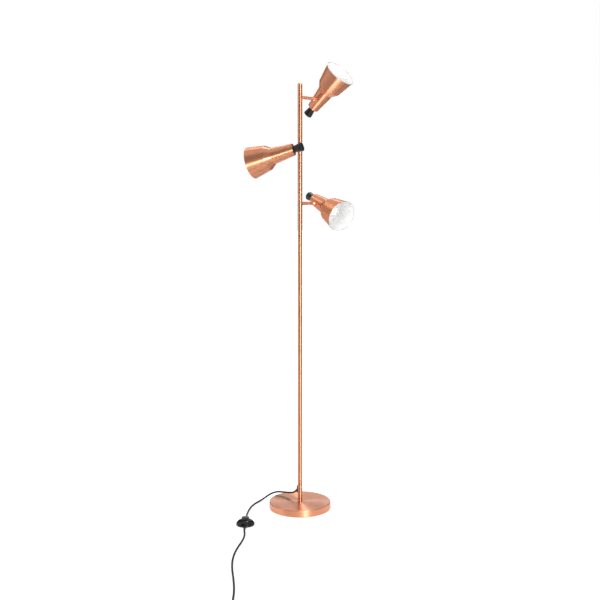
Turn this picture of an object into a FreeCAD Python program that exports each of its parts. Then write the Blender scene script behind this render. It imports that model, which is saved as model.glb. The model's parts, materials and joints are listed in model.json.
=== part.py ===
"""Free-standing floor lamp with three adjustable spot heads on one slim pole.

Millimetres. +Z is up and the origin is the centre of the base's underside, where the lamp meets the floor.
-Y is the front. The pole stands on the disc base at X = Y = 0. Three short arms leave it in one upright
plane, turned from +X towards +Y, by turns to its right and left. Each arm swivels about its own axis, a hinge
at its end tilts, and the head turns on the hinge's stub. The mains cord leaves low on the pole, runs to a
foot switch and on to a coil and its plug.
"""
import FreeCAD, Part
import math
import os
from types import SimpleNamespace

import Sketcher
from FreeCAD import Placement, Rotation, Vector

doc = FreeCAD.newDocument("spot_floor_lamp")
nodes = []

X_AXIS = Vector(1, 0, 0)
Z_AXIS = Vector(0, 0, 1)


# ---------------------------------------------------------------------------------------------------------
# Driving dimensions
# ---------------------------------------------------------------------------------------------------------

DIMENSIONS = {
    "base": [
        ("base_diameter", 220, "disc base, outside"),
        ("base_height", 24, "floor to the top of the disc"),
        ("base_skin", 1.8, "thickness of the turned cover"),
        ("base_pad_height", 3, "soft pad under the weight"),
        ("base_edge", 1.2, "rounding of the cover's top edge"),
        ("base_lift", 1.2, "floor to the cover's lower edge"),
        ("weight_gap", 0.4, "weight to the cover"),
        ("bolt_diameter", 10, "bolt from the weight into the pole"),
        ("bolt_flats", 17, "its head across the flats"),
        ("bolt_head", 6.4, "its head's height"),
        ("bolt_recess", 26, "recess for the head, across"),
    ],
    "pole": [
        ("pole_diameter", 16, "pole, outside"),
        ("pole_wall", 1, "pole's wall"),
        ("pole_top", 1500, "floor to the top of the cap"),
        ("cap_height", 3, "part of the cap above the tube"),
        ("coupler_length", 50, "sleeve inside each joint of the pole"),
        ("coupler_wall", 1.5, "wall of that sleeve"),
        ("lead_diameter", 2.5, "flex of each head inside the pole"),
        ("lead_offset", 4, "pole axis to a flex"),
    ],
    "arms": [
        ("arm_azimuth", 44, "right arms, turned from +X towards +Y, degrees"),
        ("arm_height_upper", 1454, "floor to the upper arm"),
        ("arm_height_middle", 1272.5, "floor to the middle arm"),
        ("arm_height_lower", 1091, "floor to the lower arm"),
        ("arm_diameter", 11, "arm, outside"),
        ("arm_wall", 1.2, "arm's wall"),
        ("collar_diameter", 14, "collar against the pole"),
        ("collar_end", 16.5, "pole axis to the collar's outer end"),
        ("washer_height", 0.95, "friction washer between collar and arm"),
        ("arm_start", 17.5, "pole axis to the arm's inner end"),
        ("pivot_reach", 67.5, "pole axis to the hinge pin"),
        ("nipple_diameter", 6, "hollow screw that the arm turns on"),
        ("nipple_bore", 4, "its bore for the flex"),
        ("running_gap", 0.05, "radial play of a turning fit"),
        ("pin_diameter", 4, "hinge pin"),
        ("tongue", 4.9, "thickness of the hinge's tongue"),
        ("stub_reach", 32.5, "hinge pin to the head's axis"),
        ("stub_thread", 7.8, "stub through the neck"),
        ("seat_radius", 25.3, "head axis to the seat of the stub's flange"),
    ],
    "heads": [
        ("neck_back", 40, "stub axis back to the neck's rear end"),
        ("neck_rear_diameter", 40.4, "neck at its rear end"),
        ("neck_front_diameter", 57, "neck where it meets the shoulder"),
        ("neck_length", 76.8, "straight part of the neck"),
        ("shoulder_diameter", 85.6, "widest part of the shoulder"),
        ("shoulder_length", 21, "neck to the shoulder, along the axis"),
        ("shoulder_round", 11, "rounding of the shoulder"),
        ("rim_diameter", 110.6, "mouth of the shade"),
        ("cone_length", 64.2, "shoulder to the mouth"),
        ("shade_wall", 1, "sheet of the shade"),
        ("knob_length", 32.8, "knob behind the neck"),
        ("knob_front_diameter", 21.6, "knob against the neck"),
        ("knob_rear_diameter", 30.8, "knob at its free end"),
        ("knob_dome", 1.2, "doming of the knob's end"),
        ("stud_diameter", 9.8, "hollow stud through the neck's end"),
        ("holder_diameter", 27, "lampholder"),
        ("holder_mouth", 31, "stub axis to the lampholder's mouth"),
        ("bulb_diameter", 45, "globe of the bulb"),
        ("bulb_centre", 62, "stub axis to the globe's centre"),
        ("bulb_cap", 13.6, "screw cap of the bulb"),
    ],
    "angles": [
        ("upper_swivel", 0, "hinge pin upright, degrees"),
        ("upper_tilt", 7.5, "stub out of the arm's line"),
        ("upper_turn", 47.2, "head about the stub, from the hinge pin"),
        ("middle_swivel", -37, ""),
        ("middle_tilt", 35.8, ""),
        ("middle_turn", 138, ""),
        ("lower_swivel", 0, ""),
        ("lower_tilt", -6.1, ""),
        ("lower_turn", 111.4, ""),
    ],
    "cord": [
        ("cord_diameter", 6, "round mains flex"),
        ("outlet_height", 66, "floor to the cord outlet on the pole"),
        ("outlet_azimuth", 126, "outlet, from +X, degrees"),
        ("outlet_slope", 35, "its spout below level, degrees"),
        ("outlet_tall", 30, "outlet plate, up and down"),
        ("outlet_wide", 14, "outlet plate, across"),
        ("outlet_proud", 3.6, "outlet plate, off the pole"),
        ("spout_length", 22, "spout from the pole's surface"),
        ("spout_root", 5.6, "spout's radius at the pole"),
        ("spout_tip", 4, "spout's radius where the cord leaves"),
    ],
    "foot_switch": [
        ("switch_x", -186.5, "switch centre"),
        ("switch_y", -178.5, ""),
        ("switch_diameter", 63, "switch, outside"),
        ("switch_edge", 6, "height of its upright edge"),
        ("switch_neck", 19.6, "floor to the top of the cover"),
        ("switch_wall", 2.2, "cover's wall"),
        ("switch_lift", 0.8, "floor to the cover's edge"),
        ("button_diameter", 25.8, "push button"),
        ("button_top", 28, "floor to the button's top"),
        ("button_hole_gap", 0.35, "button to cover, radial"),
        ("switch_entry", 6.6, "floor to the cord's axis at the switch"),
        ("sleeve_reach", 50, "switch centre to a sleeve's tip"),
        ("sleeve_root", 4.9, "sleeve's radius at the switch"),
        ("sleeve_tip", 3.7, "sleeve's radius at its tip"),
    ],
    "coil_and_plug": [
        ("coil_x", -146, "centre of the coil"),
        ("coil_y", -857, ""),
        ("coil_radius", 40, "outermost turn, to the cord's middle"),
        ("coil_pitch", 6.75, "from turn to turn and from layer to layer"),
        ("coil_floor", 4.4, "floor to the middle of the lower layer"),
        ("tie_width", 6, "tie round the turns"),
        ("tie_thickness", 0.9, ""),
        ("plug_width", 35, "plug across its face"),
        ("plug_thickness", 13.7, ""),
        ("plug_length", 36, "face to the root of its sleeve"),
        ("pin_spacing", 19, "between the plug's pins"),
        ("plug_pin_diameter", 4, ""),
        ("plug_pin_length", 19, ""),
    ],
}


class Size:
    """A number together with the expression that gives it to a feature."""

    def __init__(self, value, text):
        self.value = value
        self.text = text

    def __float__(self):
        return self.value

    def __add__(self, other):
        other = as_size(other)
        return Size(self.value + other.value, "(%s + %s)" % (self.text, other.text))

    def __sub__(self, other):
        other = as_size(other)
        return Size(self.value - other.value, "(%s - %s)" % (self.text, other.text))

    def __mul__(self, other):
        other = as_size(other)
        return Size(self.value * other.value, "(%s * %s)" % (self.text, other.text))

    def __truediv__(self, other):
        other = as_size(other)
        return Size(self.value / other.value, "(%s / %s)" % (self.text, other.text))

    def __rsub__(self, other):
        return as_size(other) - self

    def __neg__(self):
        return as_size(0) - self

    __radd__ = __add__
    __rmul__ = __mul__


def as_size(thing):
    """Any number as a Size."""
    if isinstance(thing, Size):
        return thing
    return Size(float(thing), "(%.6f)" % thing)


def fill_sheet():
    """Puts the driving dimensions in the sheet and returns them by name."""
    sheet = doc.addObject("Spreadsheet::Sheet", "dims")
    sizes = SimpleNamespace()
    row = 1
    for group, entries in DIMENSIONS.items():
        sheet.set("A%d" % row, group)
        row += 1
        for alias, value, note in entries:
            sheet.set("A%d" % row, alias)
            sheet.set("B%d" % row, str(value))
            sheet.set("C%d" % row, note)
            sheet.setAlias("B%d" % row, alias)
            setattr(sizes, alias, Size(float(value), "dims." + alias))
            row += 1
        row += 1
    doc.recompute()
    return sizes


D = fill_sheet()
POLE_R = D.pole_diameter / 2
POLE_BORE = POLE_R - D.pole_wall
POLE_FOOT = D.base_height
TUBE_TOP = D.pole_top - D.cap_height
SECTION = (TUBE_TOP - POLE_FOOT) / 3
SLIDING = 0.04
TOUCH = 0.1


# ---------------------------------------------------------------------------------------------------------
# Ways of making a piece
# ---------------------------------------------------------------------------------------------------------

def keep(label, piece):
    """Names a finished piece and lists it for the hand-in."""
    piece.Label = label
    nodes.append((label, piece))
    return piece


def bind(target, prop, size):
    """Gives a property its size, tied to the sheet where the size comes from there."""
    if isinstance(size, Size):
        target.setExpression(prop, size.text)
    else:
        setattr(target, prop, size)


def hold(sketch, geometry, end, x, y):
    """Holds one end of a line or arc at its distances from the sketch's origin."""
    for kind, axis, size in (("DistanceX", -2, x), ("DistanceY", -1, y)):
        if not isinstance(size, Size) and size == 0:
            sketch.addConstraint(Sketcher.Constraint("PointOnObject", geometry, end, axis))
            continue
        size = as_size(size)
        index = sketch.addConstraint(Sketcher.Constraint(kind, -1, 1, geometry, end, size.value))
        sketch.setExpression("Constraints[%d]" % index, size.text)


def arc_between(start, end, radius):
    """Centre and end angles of the arc from start to end; a positive radius turns left on the way."""
    chord = end - start
    half = chord.Length / 2
    reach = math.sqrt(max(radius * radius - half * half, 0.0))
    side = 1 if radius > 0 else -1
    across = Vector(-chord.y, chord.x, 0).normalize() * reach * side
    centre = start + chord * 0.5 + across
    first, last = (start, end) if side > 0 else (end, start)
    angles = [math.atan2(p.y - centre.y, p.x - centre.x) for p in (first, last)]
    return centre, angles[0], angles[1]


def draw(sketch, corners):
    """Closed outline through corners (x, y), or (x, y, radius) where an arc leads to that corner."""
    spots = [Vector(float(c[0]), float(c[1]), 0) for c in corners]
    ends = []
    radii = []
    for i, start in enumerate(spots):
        following = corners[(i + 1) % len(corners)]
        end = spots[(i + 1) % len(spots)]
        if len(following) == 2:
            index = sketch.addGeometry(Part.LineSegment(start, end), False)
            ends.append((index, 1, 2))
            continue
        radius = float(following[2])
        centre, first, last = arc_between(start, end, radius)
        circle = Part.Circle(centre, Z_AXIS, abs(radius))
        index = sketch.addGeometry(Part.ArcOfCircle(circle, first, last), False)
        ends.append((index, 1, 2) if radius > 0 else (index, 2, 1))
        radii.append((index, following[2], start, end))
    for i, (index, _, tail) in enumerate(ends):
        after, head, _ = ends[(i + 1) % len(ends)]
        sketch.addConstraint(Sketcher.Constraint("Coincident", index, tail, after, head))
    for (index, head, _), corner in zip(ends, corners):
        hold(sketch, index, head, corner[0], corner[1])
    for index, radius, start, end in radii:
        size = as_size(radius)
        if size.value < 0:
            size = -size
        if abs((end - start).Length / 2 - size.value) < 1e-6:
            way = 1 if abs(start.x - end.x) < 1e-6 else 0
            level = sketch.Geometry[index].Center[0 if way else 1]
            kind = "DistanceX" if way else "DistanceY"
            sketch.addConstraint(Sketcher.Constraint(kind, -1, 1, index, 3, level))
            continue
        place = sketch.addConstraint(Sketcher.Constraint("Radius", index, size.value))
        sketch.setExpression("Constraints[%d]" % place, size.text)


def draw_circle(sketch, x, y, radius):
    """A circle held by its centre and radius."""
    radius = as_size(radius)
    circle = Part.Circle(Vector(float(x), float(y), 0), Z_AXIS, radius.value)
    index = sketch.addGeometry(circle, False)
    hold(sketch, index, 3, x, y)
    place = sketch.addConstraint(Sketcher.Constraint("Radius", index, radius.value))
    sketch.setExpression("Constraints[%d]" % place, radius.text)


def new_body(label):
    """An empty body."""
    return doc.addObject("PartDesign::Body", label + "_body")


def sketch_on(body, role, offset=0):
    """A sketch on one of the body's own planes, moved along the plane's normal."""
    plane = [f for f in body.Origin.OriginFeatures if f.Role == role][0]
    sketch = body.newObject("Sketcher::SketchObject", body.Name + "_sketch")
    sketch.AttachmentSupport = (plane, [""])
    sketch.MapMode = "FlatFace"
    if isinstance(offset, Size) or offset:
        offset = as_size(offset)
        sketch.AttachmentOffset = Placement(Vector(0, 0, offset.value), Rotation())
        sketch.setExpression("AttachmentOffset.Base.z", offset.text)
    return sketch


def turn(body, corners, axis="V_Axis", feature="Revolution"):
    """Turns an outline about the body's Z (V_Axis, corners are radius, height) or X (H_Axis)."""
    sketch = sketch_on(body, "XZ_Plane")
    draw(sketch, corners)
    made = body.newObject("PartDesign::" + feature, body.Name + "_turned")
    made.Profile = sketch
    made.ReferenceAxis = (sketch, [axis])
    made.Angle = 360
    return made


def turned(label, corners, axis="V_Axis"):
    """A body made by one turning."""
    body = new_body(label)
    turn(body, corners, axis)
    return body


def pad(body, role, start, length, corners=None, circle=None, both=False):
    """Pads an outline or a circle from a plane."""
    sketch = sketch_on(body, role, start)
    if corners:
        draw(sketch, corners)
    else:
        draw_circle(sketch, *circle)
    made = body.newObject("PartDesign::Pad", body.Name + "_pad")
    made.Profile = sketch
    bind(made, "Length", length)
    if both:
        made.SideType = "Symmetric"
    return made


def pocket(body, role, start, length, corners=None, circle=None, away=False, both=False):
    """Cuts an outline or a circle along a plane's normal, or the other way where away is set."""
    doc.recompute()
    before = body.Shape.Volume
    sketch = sketch_on(body, role, start)
    if corners:
        draw(sketch, corners)
    else:
        draw_circle(sketch, *circle)
    made = body.newObject("PartDesign::Pocket", body.Name + "_pocket")
    made.Profile = sketch
    bind(made, "Length", length)
    made.Reversed = not away
    if both:
        made.SideType = "Symmetric"
    doc.recompute()
    if not body.Shape.Volume < before:
        raise RuntimeError("a pocket of %s cuts nothing" % body.Name)
    return made


def soften(body, radius, numbers):
    """Rounds the edges with these numbers."""
    base = body.Tip
    made = body.newObject("PartDesign::Fillet", body.Name + "_round")
    made.Base = (base, ["Edge%d" % number for number in numbers])
    bind(made, "Radius", radius)
    body.Tip = made


def round_edges(body, radius, circles):
    """Rounds the circular edges given as (radius, place along Z)."""
    doc.recompute()
    numbers = []
    for number, edge in enumerate(body.Tip.Shape.Edges, 1):
        curve = edge.Curve
        if not isinstance(curve, Part.Circle):
            continue
        for wanted, where in circles:
            if abs(curve.Radius - float(wanted)) < 0.01 and abs(curve.Center.z - float(where)) < 0.01:
                numbers.append(number)
    if len(numbers) < len(circles):
        raise RuntimeError("edges to round are missing on %s" % body.Name)
    soften(body, radius, numbers)


def primitive(kind, name, place, **sizes):
    """A Part primitive whose sizes are tied to the sheet."""
    made = doc.addObject("Part::" + kind, name)
    for prop, size in sizes.items():
        bind(made, prop, size)
    made.Placement = place
    return made


def at(x=0, y=0, z=0, rotation=None):
    """A placement."""
    return Placement(Vector(float(x), float(y), float(z)), rotation or Rotation())


def cut(name, base, tool):
    """Base less tool."""
    made = doc.addObject("Part::Cut", name)
    made.Base = base
    made.Tool = tool
    return made


def group(name, pieces):
    """Several separate solids as one node."""
    made = doc.addObject("Part::Compound", name)
    made.Links = pieces
    return made


def tube(name, place, outer, inner, height):
    """A straight tube from two cylinders."""
    outside = primitive("Cylinder", name + "_outside", place, Radius=outer, Height=height)
    inside = primitive("Cylinder", name + "_inside", place, Radius=inner, Height=height)
    return cut(name, outside, inside)


def hexagon(across_flats):
    """Corners of a hexagon about the sketch's origin."""
    flat = across_flats / 2
    side = flat * (2 / math.sqrt(3))
    corners = [(0, side), (flat, side / 2), (flat, -(side / 2))]
    corners += [(0, -side), (-flat, -(side / 2)), (-flat, side / 2)]
    return corners


def dome_radius(half_width, rise):
    """Radius of a dome that is level at its middle."""
    return (half_width * half_width + rise * rise) / (2 * rise)


def stadium(reach, radius):
    """Corners from a half round about the origin to a straight end at -reach or +reach."""
    if float(reach) > 0:
        return [(0, radius), (0, -radius, radius), (reach, -radius), (reach, radius)]
    return [(0, -radius), (0, radius, radius), (reach, radius), (reach, -radius)]


# ---------------------------------------------------------------------------------------------------------
# Where the arms, hinges and heads stand
# ---------------------------------------------------------------------------------------------------------

def frame(origin, along_x, along_z):
    """A placement with its X and Z axes in the given directions."""
    y = along_z.cross(along_x)
    matrix = FreeCAD.Matrix(along_x.x, y.x, along_z.x, origin.x,
                            along_x.y, y.y, along_z.y, origin.y,
                            along_x.z, y.z, along_z.z, origin.z, 0, 0, 0, 1)
    return Placement(matrix)


def arm_stand(name, side):
    """Placements of one arm's collar, the arm, its hinge and its head."""
    azimuth = math.radians(D.arm_azimuth.value)
    out = Vector(math.cos(azimuth), math.sin(azimuth), 0) * side
    height = getattr(D, "arm_height_" + name).value
    root = Vector(0, 0, height)
    pin = Rotation(out, getattr(D, name + "_swivel").value).multVec(Z_AXIS)
    stub = Rotation(pin, getattr(D, name + "_tilt").value).multVec(out)
    aim = Rotation(stub, getattr(D, name + "_turn").value).multVec(pin)
    pivot = root + out * D.pivot_reach.value
    centre = pivot + stub * D.stub_reach.value
    return SimpleNamespace(name=name, out=out, pin=pin, stub=stub, aim=aim, pivot=pivot, centre=centre,
                           collar=frame(root, out, Z_AXIS), arm=frame(root, out, pin),
                           hinge=frame(pivot, stub, pin), head=frame(centre, -stub, aim))


STANDS = [arm_stand("upper", 1), arm_stand("middle", -1), arm_stand("lower", 1)]


# ---------------------------------------------------------------------------------------------------------
# Base
# ---------------------------------------------------------------------------------------------------------

def make_base():
    """The turned cover over a cast weight, the pad it rests on, and the bolt that holds the pole."""
    outside = D.base_diameter / 2
    inside = outside - D.base_skin
    under = D.base_height - D.base_skin
    bolt = D.bolt_diameter / 2

    cover = turned("base_cover", [
        (bolt + 0.2, under), (inside, under), (inside, D.base_lift), (outside, D.base_lift),
        (outside, D.base_height), (bolt + 0.2, D.base_height)])
    round_edges(cover, D.base_edge, [(outside, D.base_height)])
    keep("base_cover", cover)

    recess = D.bolt_recess / 2
    seat = D.base_pad_height + D.bolt_head + 2.4
    rim = inside - D.weight_gap
    floor = D.base_pad_height + TOUCH
    weight = turned("base_weight", [
        (recess, floor), (rim, floor), (rim, under - TOUCH), (bolt + 0.3, under - TOUCH),
        (bolt + 0.3, seat), (recess, seat)])
    keep("base_weight", weight)

    pad_radius = inside - 1
    keep("base_pad", primitive("Cylinder", "base_pad_disc", at(), Radius=pad_radius, Height=D.base_pad_height))

    washer_height = 1.6
    washer_low = seat - washer_height
    place = at(0, 0, washer_low)
    washer = tube("base_washer", place, recess - 1.2, bolt + 0.2, washer_height)

    bolt_body = new_body("foot_bolt")
    head_low = washer_low - D.bolt_head
    pad(bolt_body, "XY_Plane", head_low, D.bolt_head, corners=hexagon(D.bolt_flats))
    shank = POLE_FOOT + 20 - washer_low
    pad(bolt_body, "XY_Plane", washer_low, shank, circle=(0, 0, bolt))
    keep("base_bolt", group("bolt_and_washer", [bolt_body, washer]))


# ---------------------------------------------------------------------------------------------------------
# Pole
# ---------------------------------------------------------------------------------------------------------

def pole_section(label, low, holes):
    """One section of the pole, drilled where the holes say."""
    section = tube(label + "_tube", at(0, 0, low), POLE_R, POLE_BORE, SECTION)
    for number, (place, radius) in enumerate(holes):
        drill = primitive("Cylinder", "%s_drill_%d" % (label, number), place, Radius=radius, Height=POLE_R + 2)
        section = cut("%s_drilled_%d" % (label, number), section, drill)
    keep(label, section)


def make_pole():
    """Three sections with sleeves inside their joints, a foot insert, a cap and the flexes inside."""
    outlet = Rotation(Z_AXIS, D.outlet_azimuth.value).multiply(Rotation(Vector(0, 1, 0), 90))
    outlet_hole = (Placement(Vector(0, 0, D.outlet_height.value), outlet), 4.3)
    arm_holes = []
    for stand in STANDS:
        along = Rotation(Z_AXIS, stand.out)
        place = Placement(Vector(0, 0, stand.pivot.z), along)
        arm_holes.append((place, D.nipple_diameter / 2 + 0.1))
    middle_foot = POLE_FOOT + SECTION
    upper_foot = middle_foot + SECTION
    pole_section("pole_lower", POLE_FOOT, [outlet_hole])
    pole_section("pole_middle", middle_foot, [])
    pole_section("pole_upper", upper_foot, arm_holes)

    sleeve = POLE_BORE - SLIDING
    sleeves = []
    for name, joint in (("low", middle_foot), ("high", upper_foot)):
        place = at(0, 0, joint - D.coupler_length / 2)
        sleeves.append(tube("coupler_" + name, place, sleeve, sleeve - D.coupler_wall, D.coupler_length))
    keep("pole_couplers", group("coupler_pair", sleeves))

    place = at(0, 0, POLE_FOOT)
    insert = tube("foot_insert", place, sleeve, D.bolt_diameter / 2 + SLIDING, 22)
    keep("pole_foot_insert", insert)

    cap = turned("pole_cap", [
        (0, TUBE_TOP - 8), (sleeve, TUBE_TOP - 8), (sleeve, TUBE_TOP), (POLE_R, TUBE_TOP),
        (POLE_R, D.pole_top), (0, D.pole_top)])
    round_edges(cap, 1, [(POLE_R, D.pole_top)])
    keep("pole_cap", cap)

    flexes = []
    low = D.outlet_height + 8
    for stand, angle in zip(STANDS, (90, 180, -90)):
        turned_by = math.radians(D.arm_azimuth.value + angle)
        x = D.lead_offset.value * math.cos(turned_by)
        y = D.lead_offset.value * math.sin(turned_by)
        top = getattr(D, "arm_height_" + stand.name) - 6
        flexes.append(primitive("Cylinder", "flex_" + stand.name, at(x, y, low),
                                Radius=D.lead_diameter / 2, Height=top - low))
    keep("pole_flexes", group("flex_bundle", flexes))


def make_cord_outlet():
    """The moulded plate and sloping spout where the cord leaves the pole."""
    body = new_body("cord_outlet")
    half = D.outlet_wide / 2
    upper = D.outlet_tall / 2 - half
    outer = POLE_R + D.outlet_proud
    pad(body, "YZ_Plane", 2, outer - 2, corners=[
        (-half, upper, half), (-half, -upper), (half, -upper, half), (half, upper)])
    doc.recompute()
    soften(body, 1.6, [n for n, e in enumerate(body.Tip.Shape.Edges, 1)
                       if all(abs(v.Point.x - outer.value) < 0.01 for v in e.Vertexes)])
    slope = Rotation(Vector(0, 1, 0), 90 + D.outlet_slope.value)
    spout = body.newObject("PartDesign::AdditiveCone", "outlet_spout")
    bind(spout, "Radius1", D.spout_root)
    bind(spout, "Radius2", D.spout_tip)
    bind(spout, "Height", D.spout_length)
    spout.Placement = Placement(Vector(POLE_R.value + 0.6, 0, 0), slope)
    doc.recompute()
    pole_face = POLE_R + 0.02
    turn(body, [(0, -20), (pole_face, -20), (pole_face, 20), (0, 20)], "V_Axis", "Groove")
    doc.recompute()
    spigot = body.newObject("PartDesign::AdditiveCylinder", "outlet_spigot")
    spigot.Radius = 4.2
    spigot.Height = 5
    spigot.Placement = Placement(Vector(5.5, 0, 0), Rotation(Vector(0, 1, 0), 90))
    doc.recompute()
    turn(body, [(0, -40), (5.4, -40), (5.4, 40), (0, 40)], "V_Axis", "Groove")
    place = Placement(Vector(0, 0, D.outlet_height.value), Rotation(Z_AXIS, D.outlet_azimuth.value))
    body.Placement = place
    keep("cord_outlet", body)
    tip = Placement(Vector(POLE_R.value + 0.6, 0, 0), slope).multVec(Vector(0, 0, D.spout_length.value))
    along = place.Rotation.multVec(slope.multVec(Z_AXIS))
    return place.multVec(tip), along


# ---------------------------------------------------------------------------------------------------------
# Arms and hinges
# ---------------------------------------------------------------------------------------------------------

def make_collars():
    """Collar of each arm, with the hollow screws, nuts and friction washers that hold the three arms."""
    screw = D.nipple_diameter / 2
    screws, nuts, washers = [], [], []
    for stand in STANDS:
        name = stand.name
        collar = turned(name + "_arm_collar", [
            (3.5, screw + 0.1), (3.5, D.collar_diameter / 2), (D.collar_end, D.arm_diameter / 2 + 0.1),
            (D.collar_end, screw + 0.1)], "H_Axis")
        pole_face = POLE_R + 0.02
        turn(collar, [(0, -12), (pole_face, -12), (pole_face, 12), (0, 12)], "V_Axis", "Groove")
        collar.Placement = stand.collar
        keep(name + "_arm_collar", collar)

        head = D.arm_start + 4.4
        bore = D.nipple_bore / 2
        nipple = turned(name + "_nipple", [
            (2, bore), (2, screw), (head, screw), (head, screw + 1.1), (head + 1.6, screw + 1.1),
            (head + 1.6, bore)], "H_Axis")
        nipple.Placement = stand.collar
        screws.append(nipple)

        nut = new_body(name + "_nut")
        pad(nut, "YZ_Plane", 2.6, 2.4, corners=hexagon(as_size(8)))
        pocket(nut, "YZ_Plane", 2.6, 2.4, circle=(0, 0, screw + 0.02))
        nut.Placement = stand.collar
        nuts.append(nut)

        ring = turned(name + "_washer", [
            (D.collar_end, screw + 0.1), (D.collar_end, screw + 1.7),
            (D.collar_end + D.washer_height, screw + 1.7), (D.collar_end + D.washer_height, screw + 0.1)],
            "H_Axis")
        ring.Placement = stand.collar
        washers.append(ring)
    keep("arm_screws", group("screw_set", screws + nuts))
    keep("arm_washers", group("washer_set", washers))


def make_arm(stand):
    """The arm that turns on its hollow screw, and the fork and pin of its hinge."""
    name = stand.name
    outer = D.arm_diameter / 2
    inner = outer - D.arm_wall
    base_end = D.pivot_reach - 6.2
    tube_end = base_end - 6.8
    screw = D.nipple_diameter / 2 + D.running_gap
    wall_end = D.arm_start + 4
    arm = turned(name + "_arm", [
        (D.arm_start, screw), (D.arm_start, outer), (tube_end, outer), (tube_end, inner),
        (wall_end, inner), (wall_end, screw)], "H_Axis")
    arm.Placement = stand.arm
    keep(name + "_arm", arm)

    fork = turned(name + "_fork", [
        (tube_end - 10, 2.3), (tube_end - 10, inner - 0.05), (tube_end, inner - 0.05), (tube_end, outer),
        (base_end, outer), (base_end, 2.3)], "H_Axis")
    cheek_gap = D.tongue + 0.1
    cheek = outer - 0.2
    for side in (1, -1):
        start = cheek_gap / 2 if side > 0 else -cheek
        back = base_end - D.pivot_reach - 0.8
        corners = [(D.pivot_reach + x, y, *rest) for x, y, *rest in stadium(back, outer)]
        pad(fork, "XY_Plane", start, cheek - cheek_gap / 2, corners=corners)
    pocket(fork, "XY_Plane", 0, 20, circle=(D.pivot_reach, 0, D.pin_diameter / 2 + 0.02), both=True)
    fork.Placement = stand.arm
    keep(name + "_fork", fork)

    pin = D.pin_diameter / 2
    screw_body = turned(name + "_hinge_screw", [
        (0, -cheek - 1.8), (pin + 1, -cheek - 1.8), (pin + 1.2, -cheek - 0.02), (pin, -cheek - 0.02),
        (pin, cheek + 0.02), (pin + 1.5, cheek + 0.02), (pin + 1.3, cheek + 1.5), (0, cheek + 1.5)])
    pocket(screw_body, "XY_Plane", cheek + 0.7, 2, corners=[
        (-4, -0.4), (4, -0.4), (4, 0.4), (-4, 0.4)])
    screw_body.Placement = frame(stand.pivot, stand.out, stand.pin)
    keep(name + "_hinge_screw", screw_body)


def make_hinge(stand):
    """The tongue that tilts in the fork, its hollow stub through the neck, and the nut inside the neck."""
    name = stand.name
    flange = D.arm_diameter / 2
    seat = D.stub_reach - D.seat_radius
    stub = D.stub_thread / 2
    tongue = new_body(name + "_knuckle")
    pad(tongue, "XY_Plane", 0, D.tongue, both=True, corners=stadium(seat - 1, flange - 0.3))
    turn(tongue, [(seat - 1.1, 0), (seat - 1.1, flange), (seat - 0.1, flange), (seat - 0.1, stub),
                  (seat + 9.3, stub), (seat + 9.3, 0)], "H_Axis")
    pocket(tongue, "XY_Plane", 0, 20, both=True, circle=(0, 0, D.pin_diameter / 2 + D.running_gap))
    pocket(tongue, "YZ_Plane", seat - 2.4, 14, circle=(0, 0, 2.2))
    tongue.Placement = stand.hinge
    keep(name + "_knuckle", tongue)

    nut = new_body(name + "_stub_nut")
    low = seat + 3.9
    pad(nut, "YZ_Plane", low, 4.4, corners=hexagon(as_size(13)))
    pocket(nut, "YZ_Plane", low, 4.4, circle=(0, 0, stub + 0.02))
    nut.Placement = stand.hinge
    keep(name + "_stub_nut", nut)


# ---------------------------------------------------------------------------------------------------------
# Heads
# ---------------------------------------------------------------------------------------------------------

def make_shade(stand):
    """The spun shade: tapered neck, rounded shoulder and cone, with the seat of the stub's flange."""
    wall = D.shade_wall
    rear = -D.neck_back
    neck_end = rear + D.neck_length
    shoulder = neck_end + D.shoulder_length
    mouth = shoulder + D.cone_length
    rear_r = D.neck_rear_diameter / 2
    front_r = D.neck_front_diameter / 2
    shoulder_r = D.shoulder_diameter / 2
    rim_r = D.rim_diameter / 2
    hole = D.stud_diameter / 2 + 0.15
    shade = turned(stand.name + "_shade", [
        (hole, rear), (rear_r, rear), (front_r, neck_end), (shoulder_r, shoulder), (rim_r, mouth),
        (rim_r - wall, mouth), (shoulder_r - wall * 1.1, shoulder + wall * 0.5),
        (front_r - wall, neck_end + wall * 0.5), (rear_r - wall, rear + wall), (hole, rear + wall)])
    round_edges(shade, D.shoulder_round, [(shoulder_r, shoulder)])
    round_edges(shade, D.shoulder_round - wall, [(shoulder_r - wall * 1.1, shoulder + wall * 0.5)])
    round_edges(shade, 2, [(rear_r, rear)])
    seat_depth = 1.7
    pad(shade, "YZ_Plane", D.seat_radius - seat_depth, seat_depth, circle=(0, 0, 6.3))
    pocket(shade, "YZ_Plane", D.seat_radius - 8, 12, circle=(0, 0, D.stub_thread / 2 + 0.08))
    shade.Placement = stand.head
    keep(stand.name + "_shade", shade)


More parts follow.
